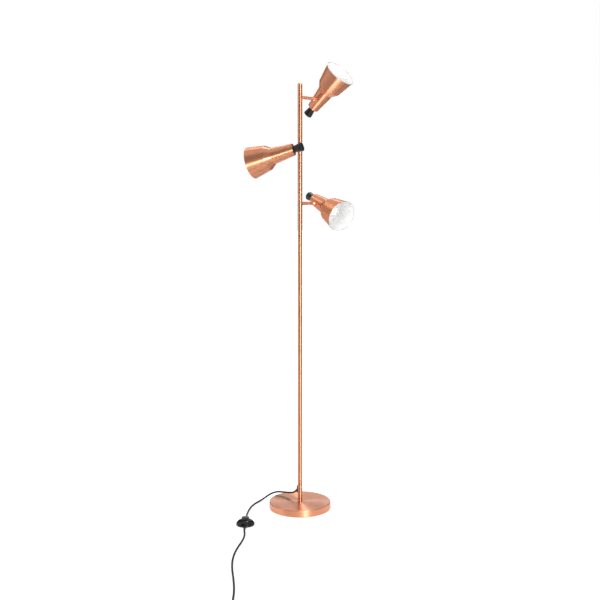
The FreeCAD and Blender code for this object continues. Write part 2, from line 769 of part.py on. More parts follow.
def make_head(stand):
    """Shade, knob, stud, lampholder and bulb of one head."""
    name = stand.name
    make_shade(stand)
    rear = -D.neck_back
    inner_rear = rear + D.shade_wall
    stud = D.stud_diameter / 2
    thread = stud + SLIDING

    knob_front = rear - 0.05
    knob_end = rear - D.knob_length
    knob_r = D.knob_rear_diameter / 2
    knob = turned(name + "_knob", [
        (thread, knob_front), (D.knob_front_diameter / 2, knob_front),
        (knob_r, knob_end + 1.5, 150), (knob_r - 1.2, knob_end, -1.6),
        (0, knob_end - D.knob_dome, -dome_radius(knob_r - 1.2, D.knob_dome)),
        (0, rear - 21), (thread, rear - 21)])
    knob.Placement = stand.head
    keep(name + "_knob", knob)

    stud_body = turned(name + "_stud", [
        (2.5, rear - 20), (stud, rear - 20), (stud, inner_rear + 22), (2.5, inner_rear + 22)])
    stud_body.Placement = stand.head
    keep(name + "_stud", stud_body)

    cap = D.bulb_cap / 2
    socket = cap + 0.4
    body_r = D.holder_diameter / 2
    holder = turned(name + "_lampholder", [
        (thread, inner_rear + TOUCH), (8, inner_rear + TOUCH), (8, inner_rear + 12),
        (body_r, inner_rear + 18), (body_r, D.holder_mouth), (socket, D.holder_mouth),
        (socket, D.holder_mouth - 26.5), (0, D.holder_mouth - 26.5), (0, inner_rear + 24),
        (thread, inner_rear + 24)])
    holder.Placement = stand.head
    keep(name + "_lampholder", holder)

    globe = D.bulb_diameter / 2
    throat = 9.5
    drop = math.sqrt(globe.value ** 2 - throat ** 2)
    bulb = turned(name + "_bulb", [
        (0, D.holder_mouth - 26), (3, D.holder_mouth - 26), (cap, D.holder_mouth - 22),
        (cap, D.holder_mouth + 0.2), (8.4, D.holder_mouth + 5), (throat, D.bulb_centre - drop),
        (globe, D.bulb_centre, globe), (0, D.bulb_centre + globe, globe)])
    bulb.Placement = stand.head
    keep(name + "_bulb", bulb)


# ---------------------------------------------------------------------------------------------------------
# Cord, foot switch, coil and plug
# ---------------------------------------------------------------------------------------------------------

def arc_through(start, corner, end):
    """The arc from start to end that touches both legs at the corner, which are equally long."""
    middle = (start + end) * 0.5
    inward = middle - corner
    reach = inward.Length
    leg = (start - corner).Length
    centre_reach = leg * leg / reach
    radius = centre_reach * (start - middle).Length / leg
    top = corner + inward * ((centre_reach - radius) / reach)
    return Part.Arc(start, top, end).toShape(), radius


def soft_path(points):
    """Straight runs joined by arcs as large as the runs allow, and the arcs' radii."""
    edges, radii = [], []
    here = points[0]
    for before, corner, after in zip(points, points[1:], points[2:]):
        leg = 0.45 * min((corner - before).Length, (after - corner).Length)
        start = corner + (before - corner).normalize() * leg
        end = corner + (after - corner).normalize() * leg
        arc, radius = arc_through(start, corner, end)
        edges.append(Part.LineSegment(here, start).toShape())
        edges.append(arc)
        radii.append(radius)
        here = end
    edges.append(Part.LineSegment(here, points[-1]).toShape())
    return Part.Wire(edges), radii


def biarc(start, out, end, into):
    """Two arcs from start, leaving along out, to end, arriving along into."""
    way = end - start
    both = out + into
    spread = 2 * (1 - out.dot(into))
    lean = way.dot(both)
    reach = (math.sqrt(lean * lean + spread * way.dot(way)) - lean) / spread
    first = start + out * reach
    second = end - into * reach
    joint = (first + second) * 0.5
    return [arc_through(start, first, joint)[0], arc_through(joint, second, end)[0]]


def sweep_cord(label, wire):
    """A round tube along the wire, whose volume is compared with its section times its length."""
    radius = D.cord_diameter.value / 2
    first = wire.OrderedEdges[0]
    start = first.valueAt(first.FirstParameter)
    along = first.tangentAt(first.FirstParameter)
    ring = Part.Wire(Part.Circle(start, along, radius).toShape())
    solid = wire.makePipeShell([ring], True, False)
    if solid.Volume < 0:
        solid.reverse()
    expected = math.pi * radius ** 2 * wire.Length
    print("%s: length %.0f mm, volume ratio %.4f" % (label, wire.Length, solid.Volume / expected))
    piece = doc.addObject("Part::Feature", label + "_tube")
    piece.Shape = solid
    return keep(label, piece)


def cord_points(coordinates):
    """Route points as vectors."""
    return [Vector(*c) for c in coordinates]


def make_cord_to_switch(tip, along):
    """From the spout down past the disc's edge and along the floor to the back of the switch."""
    entry = D.switch_entry.value
    switch = Vector(D.switch_x.value, D.switch_y.value, entry)
    route = [tip, tip + along * 15]
    route += cord_points([
        (-37, 49.5, 38), (-59, 66, 34.5), (-84, 76.5, 33.5), (-109, 80.5, 24), (-131, 74.5, 9.5),
        (-149, 56.5, 3.4), (-163, 33, 3.1), (-174, 4, 3.2), (-181.5, -31, 3.1), (-185.5, -72, 3.4)])
    route += [switch + Vector(0, D.sleeve_reach.value + 28, 0), switch + Vector(0, D.sleeve_reach.value, 0)]
    wire, radii = soft_path(route)
    print("cord_to_switch radii", [round(r) for r in radii])
    sweep_cord("cord_to_switch", wire)


def make_cord_from_switch():
    """From the front of the switch forward along the floor to the coil."""
    switch = Vector(D.switch_x.value, D.switch_y.value, D.switch_entry.value)
    route = [switch - Vector(0, D.sleeve_reach.value, 0), switch - Vector(0, D.sleeve_reach.value + 20, 0)]
    coil_start = coil_spot(0) + Vector(0, D.cord_diameter.value, 0)
    route += cord_points([
        (-183, -274, 3.3), (-183.5, -303, 3.1), (-188, -340, 3.2), (-197, -384, 3.1), (-205, -436, 3.2),
        (-208, -496, 3.1), (-204, -560, 3.2), (-196, -622, 3.1), (-188.5, -686, 3.2), (-185.2, -748, 3.5)])
    route += [coil_start + Vector(0, 50, 0), coil_start]
    wire, radii = soft_path(route)
    print("cord_from_switch radii", [round(r) for r in radii])
    sweep_cord("cord_from_switch", wire)


COIL_TURNS = 5.25
COIL_CLIMB = 0.5


def coil_spot(turns):
    """Middle of the cord after so many turns: in on the floor, up half a turn, and out on top."""
    inward = (COIL_TURNS - COIL_CLIMB) / 2
    rise = min(max((turns - inward) / COIL_CLIMB, 0), 1)
    rise = rise * rise * (3 - 2 * rise)
    laid = min(turns, inward) - max(turns - inward - COIL_CLIMB, 0)
    tuck = 1.1 * math.sin(math.pi * rise)
    radius = D.coil_radius.value - D.coil_pitch.value * laid - tuck
    angle = math.pi + turns * 2 * math.pi
    height = D.coil_floor.value + D.coil_pitch.value * rise
    return Vector(D.coil_x.value + radius * math.cos(angle), D.coil_y.value + radius * math.sin(angle), height)


def coil_heading(turns):
    """Direction of the cord at that point."""
    step = 1e-4
    if turns == 0:
        return Vector(0, -1, 0)
    if turns == COIL_TURNS:
        return Vector(1, 0, 0)
    return (coil_spot(turns + step) - coil_spot(turns - step)).normalize()


def make_coil():
    """The put-away length as loops in two layers, and the tie that holds them."""
    quarters = int(COIL_TURNS * 4)
    start = coil_spot(0)
    edges = [Part.LineSegment(start + Vector(0, D.cord_diameter.value, 0), start).toShape()]
    for quarter in range(quarters):
        here, there = quarter / 4, (quarter + 1) / 4
        edges += biarc(coil_spot(here), coil_heading(here), coil_spot(there), coil_heading(there))
    end = coil_spot(COIL_TURNS)
    lead = D.cord_diameter.value * 2
    edges.append(Part.LineSegment(end, end + Vector(lead, 0, 0)).toShape())
    wire = Part.Wire(edges)
    samples = wire.discretize(Number=900)
    spacing = wire.Length / 899
    skip = int(D.cord_diameter.value * 6 / spacing)
    least = min(a.distanceToPoint(b) for i, a in enumerate(samples) for b in samples[i + skip:])
    print("cord_coil: least gap to itself %.2f mm" % (least - D.cord_diameter.value))
    sweep_cord("cord_coil", wire)

    radius = D.cord_diameter.value / 2
    play = 0.45
    laid = (COIL_TURNS - COIL_CLIMB) / 2
    tuck = 1.1
    inner = D.coil_radius - D.coil_pitch * laid - tuck - radius - play
    outer = D.coil_radius + radius + play
    low = D.coil_floor - radius - play
    high = D.coil_floor + D.coil_pitch + radius + play
    skin = D.tie_thickness
    half = D.tie_width / 2
    tie = new_body("coil_tie")
    pad(tie, "XZ_Plane", -half, D.tie_width, corners=[
        (inner - skin, low - skin), (outer + skin, low - skin), (outer + skin, high + skin),
        (inner - skin, high + skin)])
    pocket(tie, "XZ_Plane", -half - 1, D.tie_width + 2, corners=[
        (inner, low), (outer, low), (outer, high), (inner, high)])
    tie.Placement = Placement(Vector(D.coil_x.value, D.coil_y.value, 0), Rotation(Z_AXIS, 45))
    keep("coil_tie", tie)
    return end + Vector(lead, 0, 0)


def make_plug(cord_end):
    """Two-pin plug at the end of the coil's free lead."""
    length = D.plug_length
    half = D.plug_width / 2
    tail = 7
    thick = D.plug_thickness
    place = Placement(Vector(cord_end.x, cord_end.y, cord_end.z), Rotation())
    sleeve = 20
    body = new_body("plug_body")
    low = -(thick / 2)
    pad(body, "XY_Plane", low, thick, corners=[
        (sleeve, -tail), (sleeve + length * 0.6, -half), (sleeve + length, -half),
        (sleeve + length, half), (sleeve + length * 0.6, half), (sleeve, tail)])
    doc.recompute()
    soften(body, 2.5, [n for n, e in enumerate(body.Tip.Shape.Edges, 1)
                       if abs(abs(e.tangentAt(e.FirstParameter).z) - 1) < 0.01])
    turn(body, [(0, 0), (0, 3.9), (sleeve, 6.2), (sleeve + 3, 6.2), (sleeve + 3, 0)], "H_Axis")
    body.Placement = place
    keep("plug_body", body)

    pins = []
    for side in (-1, 1):
        spot = place.multVec(Vector(sleeve + length.value + 0.02, side * D.pin_spacing.value / 2, 0))
        pins.append(primitive("Cylinder", "pin_%s" % ("left" if side > 0 else "right"),
                              Placement(spot, Rotation(Vector(0, 1, 0), 90)),
                              Radius=D.plug_pin_diameter / 2, Height=D.plug_pin_length))
    keep("plug_pins", group("pin_pair", pins))


def make_switch():
    """Foot switch: base plate, domed cover, sprung push button, contact block and cord sleeves."""
    place = at(D.switch_x, D.switch_y, 0)
    outside = D.switch_diameter / 2
    wall = D.switch_wall
    hole = D.button_diameter / 2 + D.button_hole_gap
    lip = D.switch_neck - 2.3
    cover = turned("switch_cover", [
        (outside - wall, D.switch_lift), (outside, D.switch_lift), (outside, D.switch_edge),
        (hole + 1.6, D.switch_neck, 24), (hole, D.switch_neck), (hole, lip), (hole + 1.8, lip),
        (outside - wall, D.switch_edge - 0.6, -23)])
    entry = D.sleeve_root + 0.15
    for away in (True, False):
        pocket(cover, "XZ_Plane", 0, outside + 2, away=away, circle=(0, D.switch_entry, entry))
    cover.Placement = place
    keep("switch_cover", cover)

    plate = turned("switch_plate", [
        (0, 0), (outside - wall - 0.3, 0), (outside - wall - 0.3, 2.6), (0, 2.6)])
    plate.Placement = place
    keep("switch_plate", plate)

    block = new_body("switch_block")
    pad(block, "XY_Plane", 2.65, 8.35, corners=[(-12, -9), (12, -9), (12, 9), (-12, 9)])
    block.Placement = place
    keep("switch_block", block)

    button_r = D.button_diameter / 2
    skirt = D.button_top - 13.4
    button = turned("switch_button", [
        (8, skirt), (button_r + 1.1, skirt), (button_r + 1.1, skirt + 1.6), (button_r, skirt + 1.6),
        (button_r, D.button_top - 2.4), (button_r - 1.2, D.button_top - 1.2, 1.5),
        (0, D.button_top, dome_radius(button_r - 1.2, as_size(1.2))), (0, D.button_top - 4),
        (8, D.button_top - 4)])
    button.Placement = place
    keep("switch_button", button)

    coil = doc.addObject("Part::Helix", "spring_helix")
    coil.Pitch = 3
    coil.Height = 11.4
    coil.Radius = 6
    wire_section = doc.addObject("Part::Circle", "spring_section")
    wire_section.Radius = 0.45
    wire_section.Placement = Placement(Vector(6, 0, 0), Rotation(X_AXIS, 90))
    spring = doc.addObject("Part::Sweep", "spring_sweep")
    spring.Sections = [wire_section]
    spring.Spine = (coil, ["Edge1"])
    spring.Solid = True
    spring.Frenet = True
    doc.recompute()
    spring.Placement = at(D.switch_x, D.switch_y, 11.8)
    keep("switch_spring", spring)

    sleeves = []
    entry_place = Vector(D.switch_x.value, D.switch_y.value, D.switch_entry.value)
    start = D.switch_diameter / 2 - 1.7
    for name, side in (("rear", 1), ("front", -1)):
        foot = entry_place + Vector(0, side * start.value, 0)
        sleeves.append(primitive("Cone", name + "_sleeve", Placement(foot, Rotation(X_AXIS, -90 * side)),
                                 Radius1=D.sleeve_root, Radius2=D.sleeve_tip, Height=D.sleeve_reach - start))
    keep("switch_sleeves", group("sleeve_pair", sleeves))


# ---------------------------------------------------------------------------------------------------------
# Assembly and hand-in
# ---------------------------------------------------------------------------------------------------------

def check_and_export():
    """Stops at any failed feature or bad solid, then writes one file for each node."""
    doc.recompute()
    for thing in doc.Objects:
        if {"Invalid", "Error"} & set(thing.State):
            raise RuntimeError("%s did not recompute: %s" % (thing.Name, thing.State))
    for label, piece in nodes:
        if piece.Shape.isNull() or not piece.Shape.isValid() or not piece.Shape.Solids:
            raise RuntimeError("%s is not a valid solid" % label)
    os.makedirs("parts", exist_ok=True)
    for label, piece in nodes:
        piece.Shape.exportStep("parts/%s.step" % label)
    print("%d nodes written" % len(nodes))


def main():
    make_base()
    make_pole()
    tip, along = make_cord_outlet()
    make_collars()
    for stand in STANDS:
        make_arm(stand)
        make_hinge(stand)
        make_head(stand)
        print(stand.name, "axes", [[round(c, 6) for c in v] for v in
                                   (stand.out, stand.pin, stand.stub, stand.pivot, stand.centre, stand.aim)])
    make_switch()
    make_cord_to_switch(tip, along)
    make_cord_from_switch()
    make_plug(make_coil())
    check_and_export()


main()
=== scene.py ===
"""Looks for a free-standing floor lamp: three brushed copper spot heads on a slim pole over a disc base.

Metres throughout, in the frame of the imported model: +Z up, -Y the front, the base's underside centred on the
origin. Each turned piece is a profile of (radius, height) points spun about its own axis.
"""
from __future__ import annotations

import json
import logging
import math
from dataclasses import dataclass, field
from enum import Enum
from typing import Callable, Iterable, Optional, Sequence, Union

import bmesh
import bpy
from mathutils import Matrix, Vector

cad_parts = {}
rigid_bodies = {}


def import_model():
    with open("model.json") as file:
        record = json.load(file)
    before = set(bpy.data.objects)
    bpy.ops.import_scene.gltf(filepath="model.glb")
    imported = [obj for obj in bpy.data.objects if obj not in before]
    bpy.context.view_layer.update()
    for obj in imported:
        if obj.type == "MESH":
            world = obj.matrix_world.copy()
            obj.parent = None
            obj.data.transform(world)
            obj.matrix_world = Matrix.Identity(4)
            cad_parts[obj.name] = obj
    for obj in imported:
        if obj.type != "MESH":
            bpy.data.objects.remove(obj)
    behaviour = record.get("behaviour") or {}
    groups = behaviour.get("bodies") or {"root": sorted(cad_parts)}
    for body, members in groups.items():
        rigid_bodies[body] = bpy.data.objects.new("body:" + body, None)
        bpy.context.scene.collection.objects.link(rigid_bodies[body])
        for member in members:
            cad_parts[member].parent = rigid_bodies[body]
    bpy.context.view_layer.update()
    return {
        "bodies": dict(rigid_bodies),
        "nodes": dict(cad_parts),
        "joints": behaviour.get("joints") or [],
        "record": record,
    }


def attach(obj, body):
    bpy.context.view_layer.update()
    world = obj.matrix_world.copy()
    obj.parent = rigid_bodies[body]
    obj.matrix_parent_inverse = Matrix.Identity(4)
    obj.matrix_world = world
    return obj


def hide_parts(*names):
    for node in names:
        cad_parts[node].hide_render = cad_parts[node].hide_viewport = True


LOG = logging.getLogger("spot_floor_lamp")
MM = 0.001
Point2 = tuple[float, float]
Corner = Union[tuple[float, float], tuple[float, float, float]]
Colour = tuple[float, float, float]
Socket = bpy.types.NodeSocket


class Side(Enum):
    """Which way an arm leaves the pole."""

    RIGHT = 1
    LEFT = -1


class Lay(Enum):
    """How the brushing of a copper piece runs."""

    ROUND = "round the axis"
    ALONG = "along the axis"


# ---------------------------------------------------------------------------------------------------------
# Node trees
# ---------------------------------------------------------------------------------------------------------

class Board:
    """Short calls for adding and joining the nodes of one tree."""

    def __init__(self, tree: bpy.types.NodeTree) -> None:
        """Starts on an empty tree."""
        self.tree = tree
        tree.nodes.clear()

    def add(self, kind: str, inputs: Optional[dict] = None, **settings: object) -> bpy.types.Node:
        """Adds a node.

        Args:
            kind: the node's type name.
            inputs: socket name or number to a value, or to a socket to join to it.
            settings: the node's own properties.

        Returns:
            The new node.
        """
        node = self.tree.nodes.new(kind)
        for name, value in settings.items():
            setattr(node, name, value)
        for key, value in (inputs or {}).items():
            if isinstance(value, bpy.types.NodeSocket):
                self.tree.links.new(value, node.inputs[key])
            else:
                node.inputs[key].default_value = value
        return node

    def join(self, node: bpy.types.Node, sources: dict[str, Socket]) -> None:
        """Joins sockets to a node's inputs by their names."""
        for name, source in sources.items():
            self.tree.links.new(source, node.inputs[name])

    def math(self, operation: str, first: object, second: object = 0.0, clamp: bool = False) -> Socket:
        """Result of a Math node on two values or sockets."""
        return self.add("ShaderNodeMath", {0: first, 1: second}, operation=operation, use_clamp=clamp).outputs[0]

    def vector(self, operation: str, first: object, second: object = (0.0, 0.0, 0.0)) -> bpy.types.Node:
        """A Vector Math node on two vectors or sockets."""
        return self.add("ShaderNodeVectorMath", {0: first, 1: second}, operation=operation)

    def spread(self, value: object, low: float, high: float, to_low: float = 0.0, to_high: float = 1.0) -> Socket:
        """A value carried smoothly from one range to another.

        Args:
            value: the value or socket to carry over.
            low: where the first range starts.
            high: where it ends.
            to_low: where the second range starts.
            to_high: where it ends.

        Returns:
            The carried value.
        """
        return self.add("ShaderNodeMapRange", {"Value": value, "From Min": low, "From Max": high,
                                               "To Min": to_low, "To Max": to_high},
                        interpolation_type="SMOOTHSTEP").outputs[0]

    def blend(self, factor: object, first: object, second: object) -> Socket:
        """A colour mixed from two.

        Args:
            factor: share of the second colour.
            first: colour at a factor of 0.
            second: colour at a factor of 1.

        Returns:
            The mixed colour.
        """
        node = self.add("ShaderNodeMix", data_type="RGBA")
        for key, value in ((0, factor), (6, first), (7, second)):
            if isinstance(value, bpy.types.NodeSocket):
                self.tree.links.new(value, node.inputs[key])
            else:
                node.inputs[key].default_value = value
        return node.outputs[2]


def rgba(colour: Colour) -> tuple[float, float, float, float]:
    """A colour with full alpha."""
    return (*colour, 1.0)


class EffectGroups:
    """Shader node groups that several finishes share, each built once."""

    def __init__(self) -> None:
        """Builds every group."""
        self.brushing = self._build("brushing", self._brushing, {
            "Along": "NodeSocketFloat", "Across": "NodeSocketFloat", "Position": "NodeSocketVector",
            "Fineness": "NodeSocketFloat"}, {"Grain": "NodeSocketFloat", "Cloud": "NodeSocketFloat"})
        # The edge group masks a lighter line along an edge: partly rubbed metal, partly painted highlight.
        self.wear_and_highlight = self._build("edge_wear_and_highlight", self._draw_wear_and_highlight, {
            "Distance": "NodeSocketFloat", "Width": "NodeSocketFloat", "Position": "NodeSocketVector"},
            {"Mask": "NodeSocketFloat"})
        self.handling = self._build("handling_marks", self._handling, {
            "Position": "NodeSocketVector", "Scale": "NodeSocketFloat"}, {"Mask": "NodeSocketFloat"})
        self.moulding = self._build("moulded_skin", self._moulding, {
            "Position": "NodeSocketVector", "Scale": "NodeSocketFloat"},
            {"Height": "NodeSocketFloat", "Dust": "NodeSocketFloat"})

    @staticmethod
    def _build(name: str, draw: Callable[[Board, bpy.types.Node, bpy.types.Node], None],
               inputs: dict[str, str], outputs: dict[str, str]) -> bpy.types.NodeTree:
        """Makes one group with named sockets and lets draw fill it.

        Args:
            name: the group's name.
            draw: adds the nodes between the group's inputs and outputs.
            inputs: name to kind of each input.
            outputs: name to kind of each output.

        Returns:
            The group.
        """
        tree = bpy.data.node_groups.new(name, "ShaderNodeTree")
        for label, kind in inputs.items():
            tree.interface.new_socket(label, in_out="INPUT", socket_type=kind)
        for label, kind in outputs.items():
            tree.interface.new_socket(label, in_out="OUTPUT", socket_type=kind)
        board = Board(tree)
        draw(board, board.add("NodeGroupInput"), board.add("NodeGroupOutput"))
        return tree

    @staticmethod
    def _brushing(board: Board, given: bpy.types.Node, result: bpy.types.Node) -> None:
        """Fine scratches that run across the Along value, over slow clouds of tone.

        Args:
            board: the group's own tree.
            given: the group's inputs.
            result: the group's outputs.
        """
        fine = board.math("MULTIPLY", given.outputs["Along"], given.outputs["Fineness"])
        slow = board.math("MULTIPLY", given.outputs["Across"], 9.0)
        place = board.add("ShaderNodeCombineXYZ", {0: fine, 1: slow, 2: 0.0}).outputs[0]
        scratches = board.add("ShaderNodeTexNoise", {
            "Vector": place, "Scale": 1.0, "Detail": 3.0, "Roughness": 0.7}, noise_dimensions="3D")
        wide = board.add("ShaderNodeCombineXYZ", {
            0: board.math("MULTIPLY", fine, 0.13), 1: board.math("MULTIPLY", slow, 0.5), 2: 3.7}).outputs[0]
        bands = board.add("ShaderNodeTexNoise", {
            "Vector": wide, "Scale": 1.0, "Detail": 2.0, "Roughness": 0.5}, noise_dimensions="3D")
        grain = board.math("ADD", board.math("MULTIPLY", scratches.outputs[0], 0.65),
                           board.math("MULTIPLY", bands.outputs[0], 0.35))
        cloud = board.add("ShaderNodeTexNoise", {
            "Vector": given.outputs["Position"], "Scale": 14.0, "Detail": 2.0}, noise_dimensions="3D")
        board.join(result, {"Grain": grain, "Cloud": cloud.outputs[0]})

    @staticmethod
    def _draw_wear_and_highlight(board: Board, given: bpy.types.Node, result: bpy.types.Node) -> None:
        """A broken line of rubbed metal and painted highlight that fades with the distance from an edge.

        Args:
            board: the group's own tree.
            given: the group's inputs.
            result: the group's outputs.
        """
        speckle = board.add("ShaderNodeTexNoise", {
            "Vector": given.outputs["Position"], "Scale": 900.0, "Detail": 3.0}, noise_dimensions="3D")
        near = board.math("DIVIDE", given.outputs["Distance"], given.outputs["Width"])
        near = board.math("SUBTRACT", 1.0, near, clamp=True)
        wear_highlight_mask = board.math("MULTIPLY", near, board.spread(speckle.outputs[0], 0.35, 0.7))
        board.join(result, {"Mask": wear_highlight_mask})

    @staticmethod
    def _handling(board: Board, given: bpy.types.Node, result: bpy.types.Node) -> None:
        """Soft smears left by fingers and cloths.

        Args:
            board: the group's own tree.
            given: the group's inputs.
            result: the group's outputs.
        """
        warp = board.add("ShaderNodeTexNoise", {
            "Vector": given.outputs["Position"], "Scale": given.outputs["Scale"], "Detail": 2.0,
            "Distortion": 1.4}, noise_dimensions="3D")
        board.join(result, {"Mask": board.spread(warp.outputs[0], 0.42, 0.68)})

    @staticmethod
    def _moulding(board: Board, given: bpy.types.Node, result: bpy.types.Node) -> None:
        """Fine spark-eroded skin of a moulding, and dust that settles in it.

        Args:
            board: the group's own tree.
            given: the group's inputs.
            result: the group's outputs.
        """
        pebble = board.add("ShaderNodeTexVoronoi", {
            "Vector": given.outputs["Position"], "Scale": given.outputs["Scale"]}, feature="SMOOTH_F1")
        haze = board.add("ShaderNodeTexNoise", {
            "Vector": given.outputs["Position"], "Scale": 60.0, "Detail": 4.0}, noise_dimensions="3D")
        board.join(result, {"Height": pebble.outputs["Distance"], "Dust": board.spread(haze.outputs[0], 0.5, 0.75)})


# ---------------------------------------------------------------------------------------------------------
# Finishes
# ---------------------------------------------------------------------------------------------------------

@dataclass(frozen=True)
class Finish:
    """What every finish has: a name and a way to become a material."""

    name: str

    def _start(self) -> tuple[bpy.types.Material, Board, bpy.types.Node, Socket]:
        """A new material with its board, its shader and its object coordinates.

        Returns:
            The material, its board, its shader and its object coordinates.
        """
        material = bpy.data.materials.new(self.name)
        material.use_nodes = True
        board = Board(material.node_tree)
        shader = board.add("ShaderNodeBsdfPrincipled")
        board.add("ShaderNodeOutputMaterial", {"Surface": shader.outputs[0]})
        place = board.add("ShaderNodeTexCoord").outputs["Object"]
        return material, board, shader, place


@dataclass(frozen=True)
class BrushedCopper(Finish):
    """Copper plate brushed round or along one axis, under clear lacquer."""

    origin: Vector = Vector((0.0, 0.0, 0.0))
    axis: Vector = Vector((0.0, 0.0, 1.0))
    lay: Lay = Lay.ROUND
    base: Colour = (0.80, 0.35, 0.20)
    shade: Colour = (0.64, 0.235, 0.115)
    # Lighter copper laid along the listed edges: painted highlight, partly rubbed metal.
    wear_highlight_colour: Colour = (0.92, 0.62, 0.46)
    roughness: tuple[float, float] = (0.39, 0.46)
    stretch: float = 1.0
    fineness: float = 2600.0
    edges: tuple[tuple[str, float], ...] = ()
    even_tone: float = 0.4
    smears: float = 22.0
    smear_roughness: float = 0.05
    # Width and share of the painted highlight line at the edges, partly rubbed metal.
    wear_highlight_width: float = 1.1 * MM
    wear_highlight_strength: float = 0.55
    scratch_strength: float = 0.08
    scratch_depth: float = 0.012 * MM
    lacquer: float = 0.22
    lacquer_roughness: float = 0.12

    def material(self, groups: EffectGroups) -> bpy.types.Material:
        """Builds the material.

        Args:
            groups: the shared effects.

        Returns:
            The finished material.
        """
        made, board, shader, place = self._start()
        out = board.vector("SUBTRACT", place, tuple(self.origin)).outputs[0]
        along = board.vector("DOT_PRODUCT", out, tuple(self.axis)).outputs["Value"]
        round_way = board.vector("CROSS_PRODUCT", tuple(self.axis), out).outputs[0]
        radius = board.vector("LENGTH", round_way).outputs["Value"]
        step = board.math("ADD", along, radius)
        normal = board.add("ShaderNodeTexCoord").outputs["Normal"]
        if self.lay is Lay.ROUND:
            streak = board.vector("CROSS_PRODUCT", round_way, normal).outputs[0]
        else:
            streak = round_way
            step = board.vector("DOT_PRODUCT", out, tuple(self.axis.orthogonal().normalized())).outputs["Value"]
        world = board.add("ShaderNodeVectorTransform", {0: streak}, vector_type="VECTOR",
                          convert_from="OBJECT", convert_to="WORLD").outputs[0]
        tangent = board.vector("NORMALIZE", world).outputs[0]
        side = self.axis.orthogonal().normalized()
        across = board.vector("DOT_PRODUCT", out, tuple(side)).outputs["Value"]
        brushing = board.add("ShaderNodeGroup", node_tree=groups.brushing)
        board.join(brushing, {"Along": step, "Across": across, "Position": place})
        brushing.inputs["Fineness"].default_value = self.fineness
        tone = board.blend(board.spread(brushing.outputs["Grain"], 0.3, 0.7), rgba(self.shade), rgba(self.base))
        tone = board.blend(self.even_tone, rgba(self.base), tone)
        marks = board.add("ShaderNodeGroup", {"Position": place, "Scale": self.smears}, node_tree=groups.handling)
        wear_highlight_mask = None
        # Painted highlight, partly rubbed metal: a lighter copper line at each listed edge.
        for kind, where in self.edges:
            reach = radius if kind == "radius" else along
            distance = board.math("ABSOLUTE", board.math("SUBTRACT", reach, where))
            mask = board.add("ShaderNodeGroup", {
                "Distance": distance, "Width": self.wear_highlight_width, "Position": place}, node_tree=groups.wear_and_highlight).outputs[0]
            wear_highlight_mask = mask if wear_highlight_mask is None else board.math("MAXIMUM", wear_highlight_mask, mask)
        if wear_highlight_mask is not None:
            tone = board.blend(board.math("MULTIPLY", wear_highlight_mask, self.wear_highlight_strength), tone, rgba(self.wear_highlight_colour))
        rough = board.spread(brushing.outputs["Grain"], 0.25, 0.75, self.roughness[0], self.roughness[1])
        rough = board.math("ADD", rough, board.math("MULTIPLY", marks.outputs[0], self.smear_roughness))
        height = board.add("ShaderNodeBump", {
            "Height": brushing.outputs["Grain"], "Strength": self.scratch_strength,
            "Distance": self.scratch_depth})
        board.join(shader, {"Base Color": tone, "Roughness": rough, "Tangent": tangent,
                            "Normal": height.outputs[0]})
        shader.inputs["Metallic"].default_value = 1.0
        shader.inputs["Anisotropic"].default_value = self.stretch
        shader.inputs["Coat Weight"].default_value = self.lacquer
        shader.inputs["Coat Roughness"].default_value = self.lacquer_roughness
        return made


@dataclass(frozen=True)
class Moulding(Finish):
    """Matt or satin plastic or rubber with a fine moulded skin."""

    colour: Colour = (0.012, 0.012, 0.013)
    dusty: Colour = (0.024, 0.024, 0.025)
    roughness: tuple[float, float] = (0.38, 0.52)
    skin: float = 2600.0
    depth: float = 0.04
    sheen: float = 0.0
    index: float = 1.45
    smears: float = 40.0
    dust: float = 0.35
    relief: float = 0.25

    def material(self, groups: EffectGroups) -> bpy.types.Material:
        """Builds the material from the shared moulded skin.

        Args:
            groups: the shared effects.

        Returns:
            The finished material.
        """
        made, board, shader, place = self._start()
        skin = board.add("ShaderNodeGroup", {"Position": place, "Scale": self.skin}, node_tree=groups.moulding)
        marks = board.add("ShaderNodeGroup", {"Position": place, "Scale": self.smears}, node_tree=groups.handling)
        tone = board.blend(board.math("MULTIPLY", skin.outputs["Dust"], self.dust), rgba(self.colour),
                           rgba(self.dusty))
        rough = board.spread(marks.outputs[0], 0.0, 1.0, self.roughness[0], self.roughness[1])
        bump = board.add("ShaderNodeBump", {
            "Height": skin.outputs["Height"], "Strength": self.relief, "Distance": self.depth * MM})
        board.join(shader, {"Base Color": tone, "Roughness": rough, "Normal": bump.outputs[0]})
        shader.inputs["Sheen Weight"].default_value = self.sheen
        shader.inputs["IOR"].default_value = self.index
        return made


@dataclass(frozen=True)
class Enamel(Finish):
    """White stoved enamel with a little orange peel."""

    colour: Colour = (0.89, 0.89, 0.89)
    shadow: Colour = (0.86, 0.858, 0.85)
    roughness: tuple[float, float] = (0.38, 0.5)
    peel: float = 420.0
    peel_strength: float = 0.12
    peel_depth: float = 0.08 * MM

    def material(self, groups: EffectGroups) -> bpy.types.Material:
        """Builds the material from the shared smears and skin.

        Args:
            groups: the shared effects.

        Returns:
            The finished material.
        """
        made, board, shader, place = self._start()
        skin = board.add("ShaderNodeGroup", {"Position": place, "Scale": self.peel}, node_tree=groups.moulding)
        marks = board.add("ShaderNodeGroup", {"Position": place, "Scale": 30.0}, node_tree=groups.handling)
        tone = board.blend(marks.outputs[0], rgba(self.colour), rgba(self.shadow))
        rough = board.spread(skin.outputs["Dust"], 0.0, 1.0, self.roughness[0], self.roughness[1])
        bump = board.add("ShaderNodeBump", {
            "Height": skin.outputs["Height"], "Strength": self.peel_strength, "Distance": self.peel_depth})
        board.join(shader, {"Base Color": tone, "Roughness": rough, "Normal": bump.outputs[0]})
        return made


